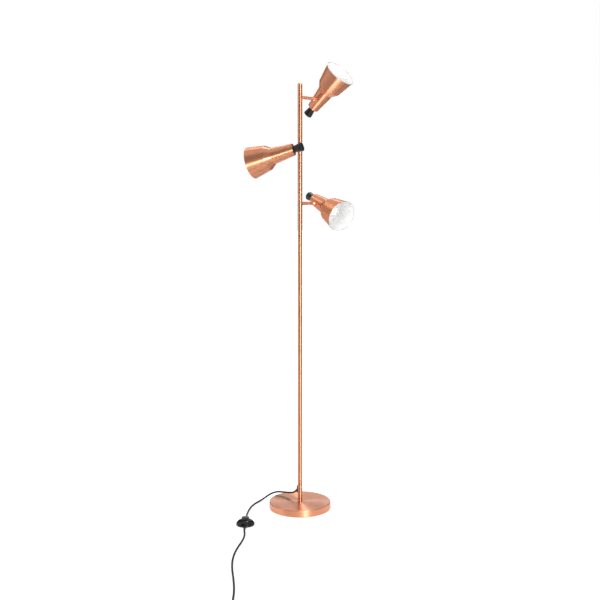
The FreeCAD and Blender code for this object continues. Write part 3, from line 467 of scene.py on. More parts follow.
@dataclass(frozen=True)
class OpalGlass(Finish):
    """Opal glass globe: white, glossy and faintly cloudy."""

    colour: Colour = (0.80, 0.80, 0.79)
    cloudy: Colour = (0.72, 0.72, 0.71)
    roughness: tuple[float, float] = (0.10, 0.18)

    def material(self, groups: EffectGroups) -> bpy.types.Material:
        """Builds the material from the shared clouds.

        Args:
            groups: the shared effects.

        Returns:
            The finished material.
        """
        made, board, shader, place = self._start()
        marks = board.add("ShaderNodeGroup", {"Position": place, "Scale": 55.0}, node_tree=groups.handling)
        tone = board.blend(marks.outputs[0], rgba(self.colour), rgba(self.cloudy))
        rough = board.spread(marks.outputs[0], 0.0, 1.0, self.roughness[0], self.roughness[1])
        board.join(shader, {"Base Color": tone, "Roughness": rough})
        shader.inputs["Coat Weight"].default_value = 0.5
        shader.inputs["Coat Roughness"].default_value = 0.05
        return made


@dataclass(frozen=True)
class PlainMetal(Finish):
    """Plated steel or brass for screws, nuts and pins."""

    colour: Colour = (0.55, 0.55, 0.54)
    dull: Colour = (0.36, 0.36, 0.36)
    roughness: tuple[float, float] = (0.22, 0.4)

    def material(self, groups: EffectGroups) -> bpy.types.Material:
        """Builds the material from the shared smears.

        Args:
            groups: the shared effects.

        Returns:
            The finished material.
        """
        made, board, shader, place = self._start()
        marks = board.add("ShaderNodeGroup", {"Position": place, "Scale": 260.0}, node_tree=groups.handling)
        tone = board.blend(marks.outputs[0], rgba(self.colour), rgba(self.dull))
        rough = board.spread(marks.outputs[0], 0.0, 1.0, self.roughness[0], self.roughness[1])
        board.join(shader, {"Base Color": tone, "Roughness": rough})
        shader.inputs["Metallic"].default_value = 1.0
        return made


@dataclass(frozen=True)
class Felt(Finish):
    """Pressed wool felt."""

    colour: Colour = (0.03, 0.03, 0.03)
    fibre: Colour = (0.09, 0.09, 0.09)

    def material(self, groups: EffectGroups) -> bpy.types.Material:
        """Builds the material with a fibre bump.

        Args:
            groups: the shared effects, which felt doesn't use.

        Returns:
            The finished material.
        """
        made, board, shader, place = self._start()
        fibre = board.add("ShaderNodeTexNoise", {"Vector": place, "Scale": 1400.0, "Detail": 6.0,
                                                 "Roughness": 0.75}, noise_dimensions="3D")
        tone = board.blend(fibre.outputs[0], rgba(self.colour), rgba(self.fibre))
        bump = board.add("ShaderNodeBump", {
            "Height": fibre.outputs[0], "Strength": 0.6, "Distance": 0.4 * MM})
        board.join(shader, {"Base Color": tone, "Normal": bump.outputs[0]})
        shader.inputs["Roughness"].default_value = 0.95
        shader.inputs["Sheen Weight"].default_value = 0.3
        return made


# ---------------------------------------------------------------------------------------------------------
# Turned and drawn meshes
# ---------------------------------------------------------------------------------------------------------

def rounded(corners: Sequence[Corner], steps: int = 6) -> list[Point2]:
    """Points of a profile whose corners are rounded where they state a radius.

    Args:
        corners: (radius, height) or (radius, height, rounding), in the order of the outline.
        steps: spans in each rounding.

    Returns:
        The profile's points.
    """
    points: list[Point2] = []
    for number, corner in enumerate(corners):
        here = Vector(corner[:2])
        if len(corner) == 2 or number in (0, len(corners) - 1):
            points.append((here.x, here.y))
            continue
        before = (Vector(corners[number - 1][:2]) - here).normalized()
        after = (Vector(corners[number + 1][:2]) - here).normalized()
        half = before.angle(after) / 2
        middle = here + (before + after).normalized() * corner[2] / math.sin(half)
        reach = corner[2] / math.tan(half)
        start = here + before * reach - middle
        turn = (math.pi - 2 * half) * (1 if start.x * (here + after * reach - middle).y
                                       > start.y * (here + after * reach - middle).x else -1)
        for step in range(steps + 1):
            spot = middle + Matrix.Rotation(turn * step / steps, 2) @ start
            points.append((spot.x, spot.y))
    return supported(points)


def supported(points: Sequence[Point2], near: float = 0.25 * MM) -> list[Point2]:
    """Adds a point close to each end of every long run, so that smooth shading keeps the run straight.

    Args:
        points: a profile.
        near: distance of the added points from the ends.

    Returns:
        The profile with its added points.
    """
    result = [points[0]]
    for one, two in zip(points, points[1:]):
        start, run = Vector(one), Vector(two) - Vector(one)
        if run.length > 6 * near:
            step = run.normalized() * near
            result += [tuple(start + step), tuple(start + run - step)]
        result.append(two)
    return result


def linked(name: str, data: Optional[bpy.types.ID]) -> bpy.types.Object:
    """A new object on some data, linked to the scene.

    Args:
        name: the object's name.
        data: its mesh, curve, light or camera.

    Returns:
        The object.
    """
    made = bpy.data.objects.new(name, data)
    bpy.context.scene.collection.objects.link(made)
    return made


def frame_of(origin: Vector, along: Vector, side: Optional[Vector] = None) -> Matrix:
    """A placement whose Z runs along one direction and whose X leans towards another.

    Args:
        origin: where the placement sits.
        along: direction of its Z.
        side: direction that its X leans towards, or any if left out.

    Returns:
        The placement.
    """
    z = along.normalized()
    x = side if side is not None else z.orthogonal()
    x = (x - z * x.dot(z)).normalized()
    y = z.cross(x)
    return Matrix.Translation(origin) @ Matrix((x, y, z)).transposed().to_4x4()


def spin(profile: Sequence[Point2], segments: int = 96) -> bmesh.types.BMesh:
    """Spins a profile about Z, with U round the axis and V along the profile.

    Args:
        profile: (radius, height) points; a radius of zero closes onto the axis.
        segments: faces round the axis.

    Returns:
        The mesh, with faces outwards where the profile runs upwards.
    """
    mesh = bmesh.new()
    layer = mesh.loops.layers.uv.new("turned")
    rows = []
    for radius, height in profile:
        if radius < 1e-7:
            rows.append([mesh.verts.new((0.0, 0.0, height))] * segments)
            continue
        rows.append([mesh.verts.new((radius * math.cos(math.tau * k / segments),
                                     radius * math.sin(math.tau * k / segments), height))
                     for k in range(segments)])
    length = [0.0]
    for one, two in zip(profile, profile[1:]):
        length.append(length[-1] + math.hypot(two[0] - one[0], two[1] - one[1]))
    for level, (low, high) in enumerate(zip(rows, rows[1:])):
        for k in range(segments):
            after = (k + 1) % segments
            spots = [(low[k], k, level), (low[after], k + 1, level),
                     (high[after], k + 1, level + 1), (high[k], k, level + 1)]
            kept = []
            for spot in spots:
                if all(spot[0] is not other[0] for other in kept):
                    kept.append(spot)
            if len(kept) < 3:
                continue
            face = mesh.faces.new([spot[0] for spot in kept])
            for loop, spot in zip(face.loops, kept):
                loop[layer].uv = (spot[1] / segments, length[spot[2]] / length[-1])
    return mesh


def finish_mesh(name: str, mesh: bmesh.types.BMesh, place: Matrix, material: bpy.types.Material,
                sharp: float = 32.0) -> bpy.types.Object:
    """Turns a bmesh into an object at the origin.

    Args:
        name: the piece's name.
        mesh: its shape about its own axis.
        place: where that shape goes.
        material: its finish.
        sharp: corner above which an edge stays sharp, in degrees.

    Returns:
        The object, linked to the scene.
    """
    mesh.transform(place)
    data = bpy.data.meshes.new(name)
    mesh.to_mesh(data)
    mesh.free()
    data.shade_smooth()
    data.set_sharp_from_angle(angle=math.radians(sharp))
    data.materials.append(material)
    return linked(name, data)


def turned(name: str, corners: Sequence[Corner], place: Matrix, material: bpy.types.Material,
           segments: int = 96, steps: int = 6) -> bpy.types.Object:
    """A turned piece from its rounded profile."""
    return finish_mesh(name, spin(rounded(corners, steps), segments), place, material)


def joined(name: str, parts: Iterable[bpy.types.Object]) -> bpy.types.Object:
    """Several meshes as one object, keeping their materials.

    Args:
        name: the whole's name.
        parts: the objects to join, which are removed.

    Returns:
        The whole.
    """
    whole = bmesh.new()
    data = bpy.data.meshes.new(name)
    for part in parts:
        offset = len(data.materials)
        before = len(whole.faces)
        whole.from_mesh(part.data)
        whole.faces.ensure_lookup_table()
        for face in whole.faces[before:]:
            face.material_index += offset
        for material in part.data.materials:
            data.materials.append(material)
        old = part.data
        bpy.data.objects.remove(part)
        bpy.data.meshes.remove(old)
    whole.to_mesh(data)
    whole.free()
    return linked(name, data)


class RingRibs:
    """Geometry Nodes tree that sets rings along a tapering sleeve."""

    def __init__(self) -> None:
        """Builds the tree once."""
        tree = bpy.data.node_groups.new("sleeve_ribs", "GeometryNodeTree")
        for label, kind in (("Count", "NodeSocketInt"), ("Length", "NodeSocketFloat"),
                            ("Root Radius", "NodeSocketFloat"), ("Tip Radius", "NodeSocketFloat"),
                            ("Rib", "NodeSocketFloat"), ("Finish", "NodeSocketMaterial")):
            tree.interface.new_socket(label, in_out="INPUT", socket_type=kind)
        tree.interface.new_socket("Geometry", in_out="OUTPUT", socket_type="NodeSocketGeometry")
        board = Board(tree)
        given = board.add("NodeGroupInput")
        line = board.add("GeometryNodeMeshLine", {
            "Count": given.outputs["Count"], "Start Location": (0.0, 0.0, 0.0)}, mode="END_POINTS")
        end = board.add("ShaderNodeCombineXYZ", {2: given.outputs["Length"]})
        tree.links.new(end.outputs[0], line.inputs["Offset"])
        index = board.add("GeometryNodeInputIndex").outputs[0]
        last = board.math("SUBTRACT", given.outputs["Count"], 1.0)
        share = board.math("DIVIDE", index, last)
        size = board.add("ShaderNodeMapRange", {
            "Value": share, "To Min": given.outputs["Root Radius"], "To Max": given.outputs["Tip Radius"]})
        ring = board.add("GeometryNodeCurvePrimitiveCircle", {"Resolution": 40, "Radius": 1.0})
        scaled = board.add("ShaderNodeCombineXYZ", {0: size.outputs[0], 1: size.outputs[0], 2: 1.0})
        rings = board.add("GeometryNodeInstanceOnPoints", {
            "Points": line.outputs[0], "Instance": ring.outputs[0], "Scale": scaled.outputs[0]})
        real = board.add("GeometryNodeRealizeInstances", {0: rings.outputs[0]})
        section = board.add("GeometryNodeCurvePrimitiveCircle", {"Resolution": 10, "Radius": given.outputs["Rib"]})
        tube = board.add("GeometryNodeCurveToMesh", {
            "Curve": real.outputs[0], "Profile Curve": section.outputs[0]})
        smooth = board.add("GeometryNodeSetShadeSmooth", {"Geometry": tube.outputs[0]})
        again = board.add("GeometryNodeRealizeInstances", {0: smooth.outputs[0]})
        dressed = board.add("GeometryNodeSetMaterial", {
            "Geometry": again.outputs[0], "Material": given.outputs["Finish"]})
        board.add("NodeGroupOutput", {0: dressed.outputs[0]})
        self.tree = tree

    def rings(self, name: str, place: Matrix, material: bpy.types.Material,
              sizes: dict[str, Union[int, float]]) -> bpy.types.Object:
        """The rings of one sleeve as a plain mesh.

        Args:
            name: the piece's name.
            place: the sleeve's root, its Z towards the tip.
            material: the rings' finish.
            sizes: values for the tree's named inputs.

        Returns:
            The finished object.
        """
        carrier = linked(name + "_carrier", bpy.data.meshes.new(name + "_carrier"))
        modifier = carrier.modifiers.new("rings", "NODES")
        modifier.node_group = self.tree
        names = {item.name: item.identifier for item in self.tree.interface.items_tree
                 if item.in_out == "INPUT"}
        for label, value in {**sizes, "Finish": material}.items():
            modifier[names[label]] = value
        graph = bpy.context.evaluated_depsgraph_get()
        data = bpy.data.meshes.new_from_object(carrier.evaluated_get(graph))
        data.transform(place)
        data.name = name
        bpy.data.objects.remove(carrier)
        if not data.materials:
            data.materials.append(material)
        return linked(name, data)


# ---------------------------------------------------------------------------------------------------------
# The lamp's sub-assemblies
# ---------------------------------------------------------------------------------------------------------

class Workshop:
    """What every sub-assembly needs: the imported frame, the shared effects and the finishes made so far."""

    def __init__(self, frame: dict) -> None:
        """Keeps the frame and builds the shared groups.

        Args:
            frame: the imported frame, as loaded.
        """
        self.frame = frame
        self.groups = EffectGroups()
        self.ribs = RingRibs()
        self._made: dict[str, bpy.types.Material] = {}

    def material(self, finish: Finish) -> bpy.types.Material:
        """The material of a finish, built the first time it is asked for.

        Args:
            finish: the finish.

        Returns:
            Its material.
        """
        if finish.name not in self._made:
            self._made[finish.name] = finish.material(self.groups)
        return self._made[finish.name]

    def dress(self, node: str, finish: Finish) -> None:
        """Gives a CAD node its finish.

        Args:
            node: the CAD node's name.
            finish: its finish.
        """
        data = self.frame["nodes"][node].data
        data.materials.clear()
        data.materials.append(self.material(finish))
        LOG.info("dressed %s", node)

    def place(self, piece: bpy.types.Object, body: str, slot: str, *nodes: str) -> bpy.types.Object:
        """Lets a piece ride on a body and stand for CAD nodes.

        Args:
            piece: the finished object.
            body: the CAD body that carries it.
            slot: the record's material slot; not used.
            nodes: the CAD nodes that it replaces.

        Returns:
            The piece.
        """
        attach(piece, body)
        if nodes:
            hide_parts(*nodes)
        LOG.info("placed %s on %s", piece.name, body)
        return piece


BLACK = Moulding("black_moulding", colour=(0.008, 0.008, 0.009))
ZINC = PlainMetal("zinc_plate")
GRIP = Moulding("knob_black", colour=(0.006, 0.006, 0.007), roughness=(0.30, 0.42), skin=2000.0, index=1.4)
SWITCH_BLACK = Moulding("switch_black", colour=(0.005, 0.006, 0.006), roughness=(0.07, 0.12), depth=0.002,
                        index=1.38)
FLEX_BLACK = Moulding("flex_black", colour=(0.004, 0.004, 0.004), dusty=(0.010, 0.010, 0.010),
                      roughness=(0.46, 0.58), skin=1500.0, index=1.3)


@dataclass
class Base:
    """Weighted disc: turned copper cover, the cast weight inside it and the felt pad below."""

    shop: Workshop
    radius: float = 110 * MM
    height: float = 24 * MM
    lift: float = 1.2 * MM
    skin: float = 1.8 * MM
    edge: float = 2.0 * MM
    hole: float = 5.2 * MM

    def build(self) -> None:
        """Builds the cover and dresses what it holds."""
        copper = BrushedCopper("copper_base", roughness=(0.29, 0.35), stretch=0.96, fineness=2200.0)
        inner = self.radius - self.skin
        cover = turned("base_cover_turned", [
            (inner, self.lift), (self.radius, self.lift, 0.3 * MM), (self.radius, self.height, self.edge),
            (self.hole, self.height), (self.hole, self.height - self.skin), (inner, self.height - self.skin),
            (inner, self.lift)], Matrix.Identity(4), self.shop.material(copper), segments=192, steps=8)
        self.shop.place(cover, "stand", "copper_sheet", "base_cover")
        self.shop.dress("base_weight", PlainMetal("cast_iron", colour=(0.12, 0.12, 0.125),
                                                  dull=(0.07, 0.07, 0.075), roughness=(0.5, 0.7)))
        self.shop.dress("base_pad", Felt("base_felt"))
        self.shop.dress("base_bolt", ZINC)


@dataclass
class Pole:
    """Three sections of tube with their sleeves, cap and the outlet of the cord."""

    shop: Workshop
    radius: float = 8 * MM
    foot: float = 24 * MM
    top: float = 1497 * MM
    bore: float = 7 * MM
    seam: float = 0.25 * MM
    cap_top: float = 1500 * MM
    cap_gap: float = 0.02 * MM
    cap_edge: float = 1.0 * MM

    def build(self) -> None:
        """Builds the sections and the cap, and dresses the rest."""
        copper = BrushedCopper("copper_pole", fineness=1900.0)
        section = (self.top - self.foot) / 3
        for number, label in enumerate(("lower", "middle", "upper")):
            low = self.foot + number * section
            high = low + section
            tube = turned("pole_%s_tube" % label, [
                (self.bore, low), (self.radius, low, self.seam), (self.radius, high, self.seam),
                (self.bore, high), (self.bore, low)], Matrix.Identity(4), self.shop.material(copper), segments=96,
                steps=3)
            self.shop.place(tube, "stand", "copper_tube", "pole_" + label)
        cap = turned("pole_cap_turned", [
            (0.0, self.top + self.cap_gap), (self.radius, self.top + self.cap_gap),
            (self.radius, self.cap_top, self.cap_edge), (0.0, self.cap_top)], Matrix.Identity(4),
            self.shop.material(copper), segments=96)
        self.shop.place(cap, "stand", "copper_tube", "pole_cap")
        self.shop.dress("pole_couplers", ZINC)
        self.shop.dress("pole_foot_insert", ZINC)
        self.shop.dress("pole_flexes", Moulding("inner_insulation", colour=(0.55, 0.55, 0.53),
                                                dusty=(0.6, 0.6, 0.6)))
        self.shop.dress("cord_outlet", BLACK)


@dataclass
class Arm:
    """One arm with its collar, hinge and the stub that carries a head."""

    shop: Workshop
    name: str
    side: Side
    height: float
    swivel: float
    tilt: float
    turn: float
    azimuth: float = 44.0
    reach: float = 67.5 * MM
    stub: float = 32.5 * MM
    out: Vector = field(init=False)
    pin: Vector = field(init=False)
    along_stub: Vector = field(init=False)
    aim: Vector = field(init=False)
    root: Vector = field(init=False)
    pivot: Vector = field(init=False)
    centre: Vector = field(init=False)

    def __post_init__(self) -> None:
        """Works out where the hinge and the head stand."""
        angle = math.radians(self.azimuth)
        up = Vector((0.0, 0.0, 1.0))
        self.out = Vector((math.cos(angle), math.sin(angle), 0.0)) * self.side.value
        self.pin = Matrix.Rotation(math.radians(self.swivel), 3, self.out) @ up
        self.along_stub = Matrix.Rotation(math.radians(self.tilt), 3, self.pin) @ self.out
        self.aim = Matrix.Rotation(math.radians(self.turn), 3, self.along_stub) @ self.pin
        self.root = Vector((0.0, 0.0, self.height))
        self.pivot = self.root + self.out * self.reach
        self.centre = self.pivot + self.along_stub * self.stub

    def build(self) -> None:
        """Dresses the arm's CAD nodes."""
        along_arm = BrushedCopper("copper_%s_arm" % self.name, origin=self.root, axis=self.out,
                                  roughness=(0.30, 0.40), stretch=0.9)
        along_stub = BrushedCopper("copper_%s_knuckle" % self.name, origin=self.pivot, axis=self.along_stub,
                                   roughness=(0.26, 0.36), stretch=0.8)
        for node in ("arm_collar", "arm", "fork"):
            self.shop.dress("%s_%s" % (self.name, node), along_arm)
        self.shop.dress(self.name + "_knuckle", along_stub)
        self.shop.dress(self.name + "_hinge_screw", PlainMetal(
            "copper_screw", colour=(0.60, 0.34, 0.22), dull=(0.42, 0.22, 0.13)))
        self.shop.dress(self.name + "_stub_nut", ZINC)
        self.shop.dress(self.name + "_stud", ZINC)


@dataclass
class Head:
    """One spot head: spun shade with its enamelled inside, knob, lampholder and bulb."""

    shop: Workshop
    arm: Arm
    rear: float = -40 * MM
    rear_radius: float = 20.2 * MM
    neck_end: float = 36.8 * MM
    neck_radius: float = 28.5 * MM
    shoulder: float = 57.8 * MM
    shoulder_radius: float = 42.8 * MM
    mouth: float = 122 * MM
    mouth_radius: float = 55.3 * MM
    wall: float = 1.0 * MM
    coat: float = 0.12 * MM
    knob_end: float = -72.8 * MM
    knob_front: float = 10.8 * MM
    knob_rear: float = 15.4 * MM
    roll: float = 0.45 * MM
    hole: float = 5.0 * MM
    bulb_middle: float = 62 * MM
    bulb_radius: float = 22.5 * MM
    bulb_throat: float = 9.5 * MM
    bulb_neck: float = 8.4 * MM
    bulb_neck_low: float = 31.2 * MM

    def build(self) -> None:
        """Builds the head's pieces."""
        name = self.arm.name
        place = frame_of(self.arm.centre, self.arm.aim, -self.arm.along_stub)
        body = name + "_spot_head"
        # The shade's mouth and shoulder get a painted highlight line, partly rubbed metal.
        copper = BrushedCopper("copper_%s_shade" % name, origin=self.arm.centre, axis=self.arm.aim,
                               fineness=2400.0,
                               edges=(("along", self.mouth), ("along", self.shoulder)))
        self.shop.place(self._shade(place, self.shop.material(copper)), body, "copper_shade", name + "_shade")
        self.shop.place(self._lining(place), body, "copper_shade")
        self.shop.place(self._knob(place), body, "knob_black", name + "_knob")
        self.shop.place(self._bulb(place), body, "opal_glass", name + "_bulb")
        self.shop.dress(name + "_lampholder", Moulding(
            "holder_black", colour=(0.03, 0.03, 0.03), roughness=(0.4, 0.5)))

    def _shade(self, place: Matrix, material: bpy.types.Material) -> bpy.types.Object:
        """The spun shell with its rolled mouth, and the flat seat pressed out for the stub.

        Args:
            place: the head's centre and its axis.
            material: the copper.

        Returns:
            The shade.
        """
        wall, roll, hole = self.wall, self.roll, self.hole
        shell = turned(self.arm.name + "_shell", [
            (hole, self.rear), (self.rear_radius, self.rear, 2 * MM), (self.neck_radius, self.neck_end, 5 * MM),
            (self.shoulder_radius, self.shoulder, 11 * MM), (self.mouth_radius, self.mouth, roll),
            (self.mouth_radius - wall, self.mouth, roll),
            (self.shoulder_radius - wall * 1.1, self.shoulder + wall * 0.5, 10 * MM),
            (self.neck_radius - wall, self.neck_end + wall * 0.5, 5 * MM),
            (self.rear_radius - wall, self.rear + wall, 1.2 * MM), (hole, self.rear + wall),
            (hole, self.rear)], place, material, segments=128, steps=8)
        seat = frame_of(self.arm.centre, -self.arm.along_stub)
        boss = turned(self.arm.name + "_seat", [
            (4.0 * MM, 22.6 * MM), (6.9 * MM, 23.4 * MM), (6.3 * MM, 25.3 * MM, 0.5 * MM), (4.0 * MM, 25.3 * MM),
            (4.0 * MM, 22.6 * MM)], seat, material, segments=48, steps=4)
        return joined(self.arm.name + "_shade_spun", [shell, boss])

    def _lining(self, place: Matrix) -> bpy.types.Object:
        """The white enamel on the shade's inside, a thin skin that ends just inside the mouth.

        Args:
            place: the head's centre and its axis.

        Returns:
            The lining.
        """
        inset = self.wall + self.coat
        ring = self.mouth - 0.5 * MM
        slope = (self.mouth_radius - self.shoulder_radius) / (self.mouth - self.shoulder)
        return turned(self.arm.name + "_lining", [
            (self.mouth_radius - inset - slope * 0.5 * MM, ring),
            (self.shoulder_radius - inset * 1.1, self.shoulder + inset * 0.5, 9.9 * MM),
            (self.neck_radius - inset, self.neck_end + inset * 0.5, 4.9 * MM),
            (self.rear_radius - inset, self.rear + inset, 1.1 * MM), (self.bulb_neck, self.rear + inset)],
            place, self.shop.material(Enamel("white_enamel")), segments=128, steps=8)

    def _knob(self, place: Matrix) -> bpy.types.Object:
        """The flared grip with a small step where it meets the neck.

        Args:
            place: the head's centre and its axis.

        Returns:
            The knob.
        """
        end, front = self.knob_end, self.rear - 0.06 * MM
        return turned(self.arm.name + "_grip", [
            (0.0, end - 1.2 * MM), (self.knob_rear * 0.55, end - 0.8 * MM, 20 * MM),
            (self.knob_rear, end + 0.1 * MM, 1.4 * MM), (self.knob_rear - 0.5 * MM, end + 6 * MM, 6 * MM),
            (self.knob_front + 0.3 * MM, self.rear - 4 * MM, 8 * MM), (self.knob_front, front, 0.4 * MM),
            (5.2 * MM, front)], place, self.shop.material(GRIP), segments=96, steps=8)

    def _bulb(self, place: Matrix) -> bpy.types.Object:
        """The opal globe on its short throat, with the metal cap that goes into the holder.

        Args:
            place: the head's centre and its axis.

        Returns:
            The bulb.
        """
        middle, radius, neck, foot = self.bulb_middle, self.bulb_radius, self.bulb_neck, self.bulb_neck_low
        low = math.asin(self.bulb_throat / radius)
        globe = [(radius * math.sin(low + (math.pi - low) * k / 40),
                  middle - radius * math.cos(low + (math.pi - low) * k / 40)) for k in range(40)]
        profile = [(neck, foot), (neck, 36 * MM), *globe, (0.0, middle + radius)]
        glass = finish_mesh(self.arm.name + "_globe", spin(profile, 72), place,
                            self.shop.material(OpalGlass("opal_glass")))
        cap = turned(self.arm.name + "_cap", [
            (0.0, 5.2 * MM), (3.0 * MM, 5.2 * MM), (6.7 * MM, 9 * MM, 0.6 * MM), (6.7 * MM, foot),
            (neck, foot)], place, self.shop.material(ZINC), segments=48)
        return joined(self.arm.name + "_bulb_opal", [glass, cap])


@dataclass
class FootSwitch:
    """Round foot switch on the floor, with its push button and the sleeves of the cord."""

    shop: Workshop
    x: float = -186.5 * MM
    y: float = -178.5 * MM
    radius: float = 31.5 * MM
    edge: float = 6 * MM
    neck: float = 19.6 * MM
    button: float = 12.9 * MM
    top: float = 28 * MM
    entry: float = 6.6 * MM
    pieces: list[Union[str, bpy.types.Object]] = field(default_factory=list)

    def build(self) -> None:
        """Builds the cover, button and sleeves and dresses the rest."""
        place = Matrix.Translation((self.x, self.y, 0.0))
        satin = self.shop.material(SWITCH_BLACK)
        inner = self.button + 0.35 * MM
        crown = self._crown(self.radius, self.edge, inner + 1.2 * MM, self.neck, 24 * MM)
        cover = turned("switch_cover_dome", [
            (self.radius - 2.2 * MM, 0.8 * MM), (self.radius, 0.8 * MM, 0.5 * MM), *crown,
            (inner + 0.5 * MM, self.neck + 0.15 * MM, 0.4 * MM), (inner, self.neck - 0.3 * MM),
            (inner, self.neck - 2.3 * MM), (inner + 1.8 * MM, self.neck - 2.3 * MM)],
            place, satin, segments=128, steps=6)
        self.shop.place(cover, "stand", "switch_black", "switch_cover")
        rise = 1.2 * MM
        wide = self.button - 1.2 * MM
        dome_points = [(wide * (1 - k / 8), self.top - rise + rise * (1 - (1 - k / 8) ** 2)) for k in range(1, 8)]
        button = turned("switch_button_cap", [
            (self.button + 1.1 * MM, 14.7 * MM), (self.button + 1.1 * MM, 16.1 * MM), (self.button, 16.1 * MM),
            (self.button, self.top - rise, 1.2 * MM), *dome_points, (0.0, self.top)],
            place, satin, segments=96, steps=6)
        self.shop.place(button, "foot_button", "switch_black", "switch_button")
        sleeves = []
        for label, way in (("rear", 1.0), ("front", -1.0)):
            root = frame_of(Vector((self.x, self.y + way * 29.8 * MM, self.entry)), Vector((0.0, way, 0.0)))
            sleeves.append(turned("sleeve_" + label, [
                (0.0, 0.0), (4.9 * MM, 0.0), (3.7 * MM, 20.2 * MM, 0.3 * MM), (3.02 * MM, 20.2 * MM),
                (3.02 * MM, 19.0 * MM)], root, self.shop.material(FLEX_BLACK), segments=40, steps=3))
            sleeves.append(self.shop.ribs.rings("sleeve_ribs_" + label, root @ Matrix.Translation((0, 0, 4 * MM)),
                                                self.shop.material(FLEX_BLACK), {
                "Count": 7, "Length": 13.5 * MM, "Root Radius": 4.55 * MM, "Tip Radius": 3.78 * MM,
                "Rib": 0.42 * MM}))
        pair = joined("switch_sleeve_pair", sleeves)
        self.shop.place(pair, "stand", "cord_black", "switch_sleeves")
        self.shop.dress("switch_plate", SWITCH_BLACK)
        self.shop.dress("switch_block", BLACK)
        self.shop.dress("switch_spring", ZINC)
        self.pieces = [cover, button, pair, "switch_plate", "switch_block", "switch_spring"]

    @staticmethod
    def _crown(outer: float, low: float, inner: float, high: float, radius: float) -> list[Point2]:
        """Points of the arc that domes the cover from its upright edge to its neck.

        Args:
            outer: radius where the arc starts.
            low: height where it starts.
            inner: radius where it ends.
            high: height where it ends.
            radius: the arc's own radius.

        Returns:
            The arc's points.
        """
        start, end = Vector((outer, low)), Vector((inner, high))
        chord = end - start
        half = chord.length / 2
        across = Vector((-chord.y, chord.x)).normalized() * math.sqrt(radius * radius - half * half)
        centre = start + chord / 2 + across
        first = math.atan2(start.y - centre.y, start.x - centre.x)
        last = math.atan2(end.y - centre.y, end.x - centre.x)
        return [(centre.x + radius * math.cos(first + (last - first) * k / 14),
                 centre.y + radius * math.sin(first + (last - first) * k / 14)) for k in range(15)]


